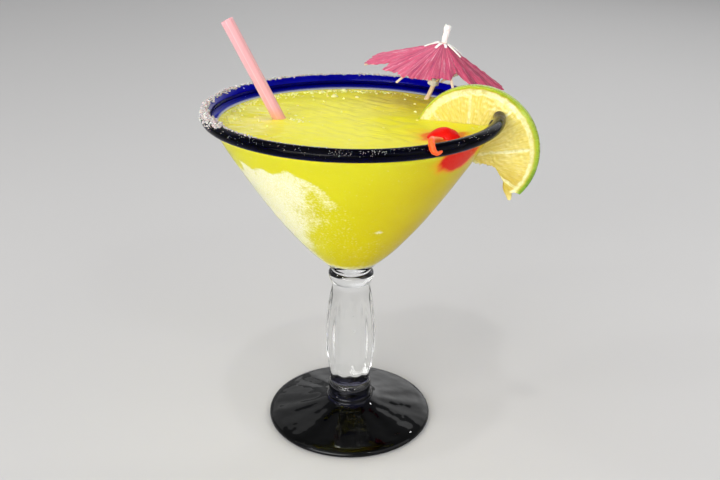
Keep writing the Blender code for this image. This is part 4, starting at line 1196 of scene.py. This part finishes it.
def flap_part(lime):
    """The torn shred at the slice's lower tip: a thin ribbon that narrows along its path."""
    path = through(FLAP, 8)
    count = len(path)
    t = np.linspace(0, 1, count)
    way = np.gradient(path, axis=0)
    way /= np.linalg.norm(way, axis=1, keepdims=True)
    side = np.stack([-way[:, 1], way[:, 0]], -1)
    width = 0.0016 * (1 - t) ** 0.6 + 0.0005
    thick = 0.0009 * (1 - t) + 0.00025
    closing = np.ones(count)
    closing[[0, -1]] = 0.0
    a = once_round(20)
    flat = path[:, None] + side[:, None] * (width * closing)[:, None, None] * np.cos(a)[:, None]
    depth = (thick * closing)[:, None] * np.sin(a) + 0.0005 * np.sin(3 * t)[:, None]
    points = place(np.concatenate([flat, depth[..., None]], -1), lime_frame())
    values = lime_values(lime, flat)
    values["rind"] = np.zeros(depth.shape)
    values["pith"] = 0.55 * smooth_step(0.3, 1.0, t)[:, None] + values["rind"]
    return grid_part(points, around=True, poles=(True, True), values=values)


def cherry_part(cherry):
    """The cherry: a ball with a dimple exp(-angle squared) at the stem, and low lumps."""
    rows, columns = 96, 128
    up = np.radians(np.linspace(-90, 90, rows))[:, None]
    ball_points = polar(np.cos(up), once_round(columns), np.sin(up))
    axis = STALK_START / np.linalg.norm(STALK_START)
    toward = np.clip(ball_points @ axis, 0.0, 1.0)
    lumps = 0.00022 * waves(ball_points, 1.3, 51) + 0.00007 * waves(ball_points, 0.45, 52)
    radius = cherry.radius - 0.0002 + lumps
    points = ball_points * radius[..., None] - axis * (0.0014 * toward**26)[..., None]
    points[0], points[-1] = points[0, 0], points[-1, 0]
    return grid_part(points + CHERRY_CENTRE, around=True, poles=(True, True))


def stalk_part(cherry, glass):
    """The cherry's stem: a rod from the dimple over the rim, thin at both ends, with its
    girth uneven along it."""
    axis = STALK_START / np.linalg.norm(STALK_START)
    root = CHERRY_CENTRE + axis * (cherry.radius - 0.0006)
    azimuth, around = np.radians(STALK_ON_RIM).T
    over = on_bead(glass, azimuth, around, 0.0002 + cherry.stem_radius)
    path = through(np.concatenate([[root, STALK_INSIDE], over]), 12)
    t = np.linspace(0, 1, len(path))
    girth = np.interp(t, (0, 0.3, 0.7, 0.93, 1.0), (0.65, 1.0, 1.0, 0.55, 0.40))
    girth = girth * (1.0 + 0.05 * waves(t[:, None], 0.10, 53))
    return rod_part(path, cherry.stem_radius * girth, 28, (0.9, -0.4, 0.1))


def umbrella_frame():
    """The umbrella's frame: its apex, with Z up its leaning axis."""
    return Matrix.Translation(Vector(UMBRELLA_APEX)) @ Matrix.Rotation(UMBRELLA_LEAN, 4, "Y")


def paper_reach(angle):
    """The paper's edge at azimuths, as a share of the ribs' reach: a cosine between ribs,
    less a scallop, the tears and fine raggedness."""
    turn = (angle - FIRST_RIB) / RIB_STEP
    k = np.floor(turn).astype(int)
    t = turn - k
    low, high = PAPER_REACH[k % RIB_COUNT], PAPER_REACH[(k + 1) % RIB_COUNT]
    reach = low + (high - low) * (0.5 - 0.5 * np.cos(math.pi * t)) - 0.06 * np.sin(math.pi * t)
    for middle, width, depth in TEARS:
        away = np.abs((angle - middle + 180.0) % 360.0 - 180.0) / width
        reach = reach - depth * np.maximum(0.0, 1.0 - away)
    circle = polar(1.0, np.radians(angle))
    return reach + 0.008 * waves(circle, 0.09, 61) + 0.006 * waves(circle, 0.035, 62)


def canopy_part(umbrella):
    """The paper: a shallow cone that sags between its ribs, with pleats whose depth grows
    with the radius, and crinkles. Rows run out over the top and back along the underside."""
    columns, rows = 720, 30
    angle = 100.0 + 360.0 * np.arange(columns) / columns
    reach = paper_reach(angle)
    hole = 0.0012 / umbrella.radius
    out = np.linspace(0.0, 1.0, rows)[:, None]
    share = hole + (reach - hole) * out
    a = np.radians(angle)
    turn = (angle - FIRST_RIB) / RIB_STEP
    circle = polar(1.0, a)
    sag = 0.0012 * np.sin(math.pi * (turn % 1.0)) ** 2
    warp = 1.5 * waves(circle, 0.5, 63)
    pleat = umbrella.pleat * (0.5 - 0.5 * np.cos(40 * (a - math.radians(FIRST_RIB)) + warp))
    pleat = pleat * (0.8 + 0.5 * waves(circle, 0.4, 64))
    crinkle = 0.00016 * waves(circle, 0.055, 65) + 0.00010 * waves(circle, 0.028, 66)
    r = share * umbrella.radius
    rough = 0.00014 * waves(polar(r, a), 0.0035, 67) * smooth_step(0.1, 0.4, share)
    z = -umbrella.rise * share - (sag + pleat) * share + crinkle * share + rough
    half = umbrella.paper / 2
    points = np.concatenate([polar(r, a, z + half), polar(r, a, z - half)[::-1]])
    fade = 0.75 * smooth_step(-0.2, 0.9, np.cos(a - math.radians(FADE_AZIMUTH)))
    faded = np.tile(fade, (2 * rows, 1))
    points = place(points, umbrella_frame())
    return grid_part(points, around=True, loop=True, values={"faded": faded})


def on_cone(umbrella, radius, azimuth, lift):
    """A point at a height over the umbrella's plain cone, in its own frame."""
    a = math.radians(azimuth)
    z = -umbrella.rise * radius / umbrella.radius + lift
    return polar(radius, a, z)


def rib_angles():
    """The ribs' azimuths in degrees."""
    return FIRST_RIB + RIB_STEP * np.arange(RIB_COUNT)


def collar_part():
    """The collar: a strip of paper rolled twice round the stick, r = a + b times the turn."""
    turn = np.radians(np.linspace(-70.0, 650.0, 150))
    share = np.linspace(0.0, 1.0, 150)
    r = 0.00135 + 0.00155 * share
    low, high = COLLAR_SPAN
    half = 0.00014
    ring = [(-half, low), (half, low), (half, high), (-half, high)]
    rows = []
    for side, z in ring:
        wavy = z + 0.00012 * np.sin(3.0 * turn + 9.0 * z / MM)
        rows.append(polar(r + side, turn, wavy))
    points = np.stack(rows, 1)
    ends = points.mean(1, keepdims=True).repeat(4, 1)
    points = np.concatenate([ends[:1], points, ends[-1:]])
    return grid_part(place(points, umbrella_frame()), around=True, poles=(True, True))


def finial_part():
    """The tip: turned, narrower at its foot, with an uneven torn top."""
    outline = [(0.0, 0.0080), (0.0009, 0.0080), (0.00145, 0.0077), (0.00165, 0.0070),
               (0.00165, 0.0050), (0.0015, 0.0025), (0.00145, 0.0006), (0.0013, -0.0002),
               (0.0, -0.0003)]
    points = turned(through(outline, 5), 36)
    points[..., 0] *= 0.92 + 0.05 * waves(points, 0.003, 71)
    points[..., 1] *= 0.92 + 0.05 * waves(points, 0.003, 72)
    top = smooth_step(0.0070, 0.0080, points[..., 2])
    points[..., 2] += top * (0.0002 * waves(points[..., :2], 0.0012, 73) - 0.0003)
    points[0], points[-1] = points[0, 0], points[-1, 0]
    return grid_part(place(points, umbrella_frame()), around=True, poles=(True, True))


def stick_part(umbrella):
    """The stick: down the umbrella's axis, then along its bend into the drink."""
    matrix = umbrella_frame()
    top, foot = place(np.array([(0.0, 0.0, -0.0002), (0.0, 0.0, COLLAR_SPAN[0] - 0.0006)]), matrix)
    path = through([top, (top + foot) / 2, foot, *STICK_BEND], 10)
    return rod_part(path, 0.00105, 24, (0.0, 1.0, 0.0), cap=0.3)


# Operators


class MARGARITA_OT_glass(bpy.types.Operator):
    """Build the clear bowl and stem, with the small bubbles in their glass"""

    bl_idname = "margarita.glass"
    bl_label = "Clear Glass"

    def execute(self, context):
        glass = context.scene.margarita_glass
        material = clear_glass(glass)
        part = grid_part(glass_points(glass), around=True, poles=(True, True))
        make_piece("bowl_and_stem", [part], material, ("bowl", "stem"))
        rng = np.random.default_rng(4)
        centres, sizes = seed_points(rng)
        part = scatter_part(*ball(3), centres, sizes, rng, 0.0, (0.8, 0.8, 1.2))
        make_piece("glass_seeds", [part], seed_finish())
        return {"FINISHED"}


class MARGARITA_OT_rim(bpy.types.Operator):
    """Build the cobalt bead round the lip"""

    bl_idname = "margarita.rim"
    bl_label = "Cobalt Rim"

    def execute(self, context):
        glass = context.scene.margarita_glass
        part = grid_part(rim_points(glass), around=True, loop=True)
        material = cobalt_glass("cobalt_rim", glass.rim_blue, 0.0003, 1.14)
        make_piece("rim_bead", [part], material, ("rim",))
        return {"FINISHED"}


class MARGARITA_OT_foot(bpy.types.Operator):
    """Build the cobalt foot"""

    bl_idname = "margarita.foot"
    bl_label = "Cobalt Foot"

    def execute(self, context):
        glass = context.scene.margarita_glass
        part = grid_part(foot_points(), around=True, poles=(True, True))
        material = cobalt_glass("cobalt_foot", glass.foot_blue, 0.0006, 1.28)
        make_piece("foot_disc", [part], material, ("foot",))
        return {"FINISHED"}


class MARGARITA_OT_drink(bpy.types.Operator):
    """Fill the bowl with the drink, its crushed ice and its bubbles"""

    bl_idname = "margarita.drink"
    bl_label = "Drink"

    def execute(self, context):
        glass = context.scene.margarita_glass
        drink = context.scene.margarita_drink
        part = drink_part(drink, glass)
        make_piece("drink_fill", [part], drink_finish(drink), ("drink",))
        rng = np.random.default_rng(8)
        centres, sizes = ice_places(drink, glass, rng)
        part = scatter_part(CUBE, CUBE_QUADS, centres, sizes, rng, 0.35, (1.2, 1.2, 0.8))
        make_piece("crushed_ice", [part], ice_finish(), smooth=False)
        centres, sizes = foam_places(drink, glass, rng)
        part = scatter_part(*ball(3), centres, sizes, rng, 0.0)
        make_piece("foam_bubbles", [part], foam_finish())
        return {"FINISHED"}


class MARGARITA_OT_salt(bpy.types.Operator):
    """Scatter the coarse salt on the rim"""

    bl_idname = "margarita.salt"
    bl_label = "Salt"

    def execute(self, context):
        salt = context.scene.margarita_salt
        rng = np.random.default_rng(salt.seed)
        centres, sizes = salt_places(salt, context.scene.margarita_glass, rng)
        part = scatter_part(CUBE, CUBE_QUADS, centres, sizes, rng, 0.3)
        make_piece("salt_crystals", [part], salt_finish(salt), smooth=False)
        return {"FINISHED"}


class MARGARITA_OT_straw(bpy.types.Operator):
    """Build the pink straw"""

    bl_idname = "margarita.straw"
    bl_label = "Straw"

    def execute(self, context):
        straw = context.scene.margarita_straw
        part = straw_part(straw)
        make_piece("pink_straw", [part], straw_finish(straw), ("straw",))
        return {"FINISHED"}


class MARGARITA_OT_lime(bpy.types.Operator):
    """Build the half slice of lime on the rim"""

    bl_idname = "margarita.lime"
    bl_label = "Lime Slice"

    def execute(self, context):
        lime = context.scene.margarita_lime
        parts = [lime_part(lime), flap_part(lime)]
        make_piece("lime_half", parts, lime_finish(lime), ("lime_slice",))
        return {"FINISHED"}


class MARGARITA_OT_cherry(bpy.types.Operator):
    """Build the cherry and its stem"""

    bl_idname = "margarita.cherry"
    bl_label = "Cherry"

    def execute(self, context):
        cherry = context.scene.margarita_cherry
        part = cherry_part(cherry)
        make_piece("cherry_ball", [part], cherry_finish(cherry), ("cherry",))
        part = stalk_part(cherry, context.scene.margarita_glass)
        make_piece("cherry_stalk", [part], stalk_finish(cherry), ("cherry_stem",))
        return {"FINISHED"}


class MARGARITA_OT_umbrella(bpy.types.Operator):
    """Build the paper umbrella"""

    bl_idname = "margarita.umbrella"
    bl_label = "Umbrella"

    def execute(self, context):
        umbrella = context.scene.margarita_umbrella
        matrix = umbrella_frame()
        upwards = np.array(matrix)[:3, 2]
        white, wood = paper_finish(umbrella), wood_finish(umbrella)
        part = canopy_part(umbrella)
        nodes = ("umbrella_canopy",)
        make_piece("umbrella_paper", [part], tissue_finish(umbrella), nodes)
        ribs, arms, braces = [], [], []
        for angle, bare in zip(rib_angles(), ARM_LENGTHS):
            ends = [
                on_cone(umbrella, 0.0030, angle, RIB_LIFT),
                on_cone(umbrella, umbrella.radius - 0.0001, angle, RIB_LIFT),
                on_cone(umbrella, 0.0022, angle, ARM_LIFT),
                on_cone(umbrella, bare, angle, ARM_LIFT),
                polar(0.0034, math.radians(angle), -0.01756),
                on_cone(umbrella, 0.0150, angle, -0.0019),
            ]
            ends = place(np.array(ends), matrix)
            ribs.append(slat_part(ends[0], ends[1], 0.0014, 0.0006, upwards, 0.0003, 0.8))
            arms.append(slat_part(ends[2], ends[3], 0.0015, 0.0006, upwards, 0.0002, 0.8))
            braces.append(slat_part(ends[4], ends[5], 0.0010, 0.0005, upwards, 0.0001))
        for name, parts, material, slot in (
            ("rib", ribs, wood, "pale_wood"),
            ("arm", arms, white, "white_paper"),
            ("stretcher", braces, wood, "pale_wood"),
        ):
            nodes = [f"umbrella_{name}_{k + 1}" for k in range(RIB_COUNT)]
            make_piece(f"umbrella_{name}s", parts, material, nodes)
        make_piece("umbrella_tip", [finial_part()], white, ("umbrella_finial",))
        make_piece("umbrella_roll", [collar_part()], white, ("umbrella_collar",))
        make_piece("umbrella_pick", [stick_part(umbrella)], wood, ("umbrella_stick",))
        return {"FINISHED"}


def area_light(name, location, size, power, tint, spread):
    """A rectangular lamp that faces the bowl."""
    data = bpy.data.lights.new(name, "AREA")
    data.shape = "RECTANGLE"
    data.size, data.size_y = size
    data.energy = power
    data.color = tint
    data.spread = math.radians(spread)
    lamp = bpy.data.objects.new(name, data)
    bpy.context.scene.collection.objects.link(lamp)
    lamp.location = location
    way = Vector(LAMP_AIM) - Vector(location)
    lamp.rotation_euler = way.to_track_quat("-Z", "Y").to_euler()


def floor_finish(stage):
    """A matte pale floor with the faintest mottle."""
    finish = Finish("pale_floor")
    mottle = finish.noise(finish.place, 3.0, 3.0)
    light = tuple(min(1.0, channel * 1.03) for channel in stage.floor)
    finish.set(Base_Color=finish.mix(mottle, stage.floor, light), Roughness=0.6)
    return finish.material


class MARGARITA_OT_stage(bpy.types.Operator):
    """Set the pale floor, the soft studio light and the camera"""

    bl_idname = "margarita.stage"
    bl_label = "Stage"

    def execute(self, context):
        scene = context.scene
        stage = scene.margarita_stage
        mesh = bpy.data.meshes.new("floor")
        corners = ((-1, -1), (1, -1), (1, 1), (-1, 1))
        corners = [(FLOOR_HALF * x, FLOOR_HALF * y, FLOOR_LOW) for x, y in corners]
        mesh.from_pydata(corners, [], [(0, 1, 2, 3)])
        mesh.materials.append(floor_finish(stage))
        floor = bpy.data.objects.new("floor", mesh)
        scene.collection.objects.link(floor)

        world = bpy.data.worlds.new("studio")
        world.use_nodes = True
        tree = world.node_tree
        coordinates = tree.nodes.new("ShaderNodeTexCoord")
        apart = tree.nodes.new("ShaderNodeSeparateXYZ")
        tree.links.new(coordinates.outputs["Generated"], apart.inputs["Vector"])
        ramp = tree.nodes.new("ShaderNodeValToRGB")
        tree.links.new(apart.outputs["Z"], ramp.inputs["Fac"])
        level, middle, top = SKY
        ramp.color_ramp.elements[0].color = level[1]
        ramp.color_ramp.elements[1].color = top[1]
        ramp.color_ramp.elements.new(middle[0]).color = middle[1]
        back = tree.nodes["Background"]
        tree.links.new(ramp.outputs["Color"], back.inputs["Color"])
        back.inputs["Strength"].default_value = stage.sky
        scene.world = world

        lamps = list(LAMPS)
        for azimuth in GLINTS:
            a = math.radians(azimuth)
            location = (GLINT_REACH * math.sin(a), -GLINT_REACH * math.cos(a), GLINT_REACH)
            size = (GLINT_SIZE, GLINT_SIZE)
            lamps.append(("glint", location, size, GLINT_SHARE, WHITE, 180.0))
        for name, location, size, share, tint, spread in lamps:
            area_light(name, location, size, stage.key * share, tint, spread)

        data = bpy.data.cameras.new("camera")
        data.lens = CAMERA_LENS
        data.sensor_width = 36.0
        data.clip_start, data.clip_end = 0.01, 20.0
        camera = bpy.data.objects.new("camera", data)
        scene.collection.objects.link(camera)
        turn = Matrix.Rotation(math.radians(CAMERA_SWING), 4, "Z")
        turn = turn @ Matrix.Rotation(math.radians(90.0 - CAMERA_TILT), 4, "X")
        turn = turn @ Matrix.Rotation(math.radians(CAMERA_ROLL), 4, "Z")
        camera.matrix_world = Matrix.Translation(CAMERA_PLACE) @ turn
        scene.camera = camera
        scene.view_settings.view_transform = "Standard"
        return {"FINISHED"}


STEPS = (
    MARGARITA_OT_glass,
    MARGARITA_OT_rim,
    MARGARITA_OT_foot,
    MARGARITA_OT_drink,
    MARGARITA_OT_salt,
    MARGARITA_OT_straw,
    MARGARITA_OT_lime,
    MARGARITA_OT_cherry,
    MARGARITA_OT_umbrella,
    MARGARITA_OT_stage,
)
SETTINGS = {
    "glass": GlassSettings,
    "drink": DrinkSettings,
    "salt": SaltSettings,
    "straw": StrawSettings,
    "lime": LimeSettings,
    "cherry": CherrySettings,
    "umbrella": UmbrellaSettings,
    "stage": StageSettings,
}


class MARGARITA_PT_panel(bpy.types.Panel):
    """The margarita's pieces, each with its sizes and colours"""

    bl_idname = "MARGARITA_PT_panel"
    bl_label = "Margarita"
    bl_space_type = "VIEW_3D"
    bl_region_type = "UI"
    bl_category = "Margarita"

    def draw(self, context):
        for step in STEPS:
            self.layout.operator(step.bl_idname)
        for name in SETTINGS:
            box = self.layout.box()
            box.label(text=name.capitalize())
            settings = getattr(context.scene, f"margarita_{name}")
            for key in settings.__annotations__:
                box.prop(settings, key)


def register():
    for kind in (*SETTINGS.values(), *STEPS, MARGARITA_PT_panel):
        bpy.utils.register_class(kind)
    for name, kind in SETTINGS.items():
        setattr(bpy.types.Scene, f"margarita_{name}", PointerProperty(type=kind))


def unregister():
    for name in SETTINGS:
        delattr(bpy.types.Scene, f"margarita_{name}")
    for kind in (MARGARITA_PT_panel, *reversed(STEPS), *reversed(SETTINGS.values())):
        bpy.utils.unregister_class(kind)


def main():
    register()
    bpy.ops.margarita.glass()
    bpy.ops.margarita.rim()
    bpy.ops.margarita.foot()
    bpy.ops.margarita.drink()
    bpy.ops.margarita.salt()
    bpy.ops.margarita.straw()
    bpy.ops.margarita.lime()
    bpy.ops.margarita.cherry()
    bpy.ops.margarita.umbrella()
    bpy.ops.margarita.stage()


if __name__ == "__main__":
    main()
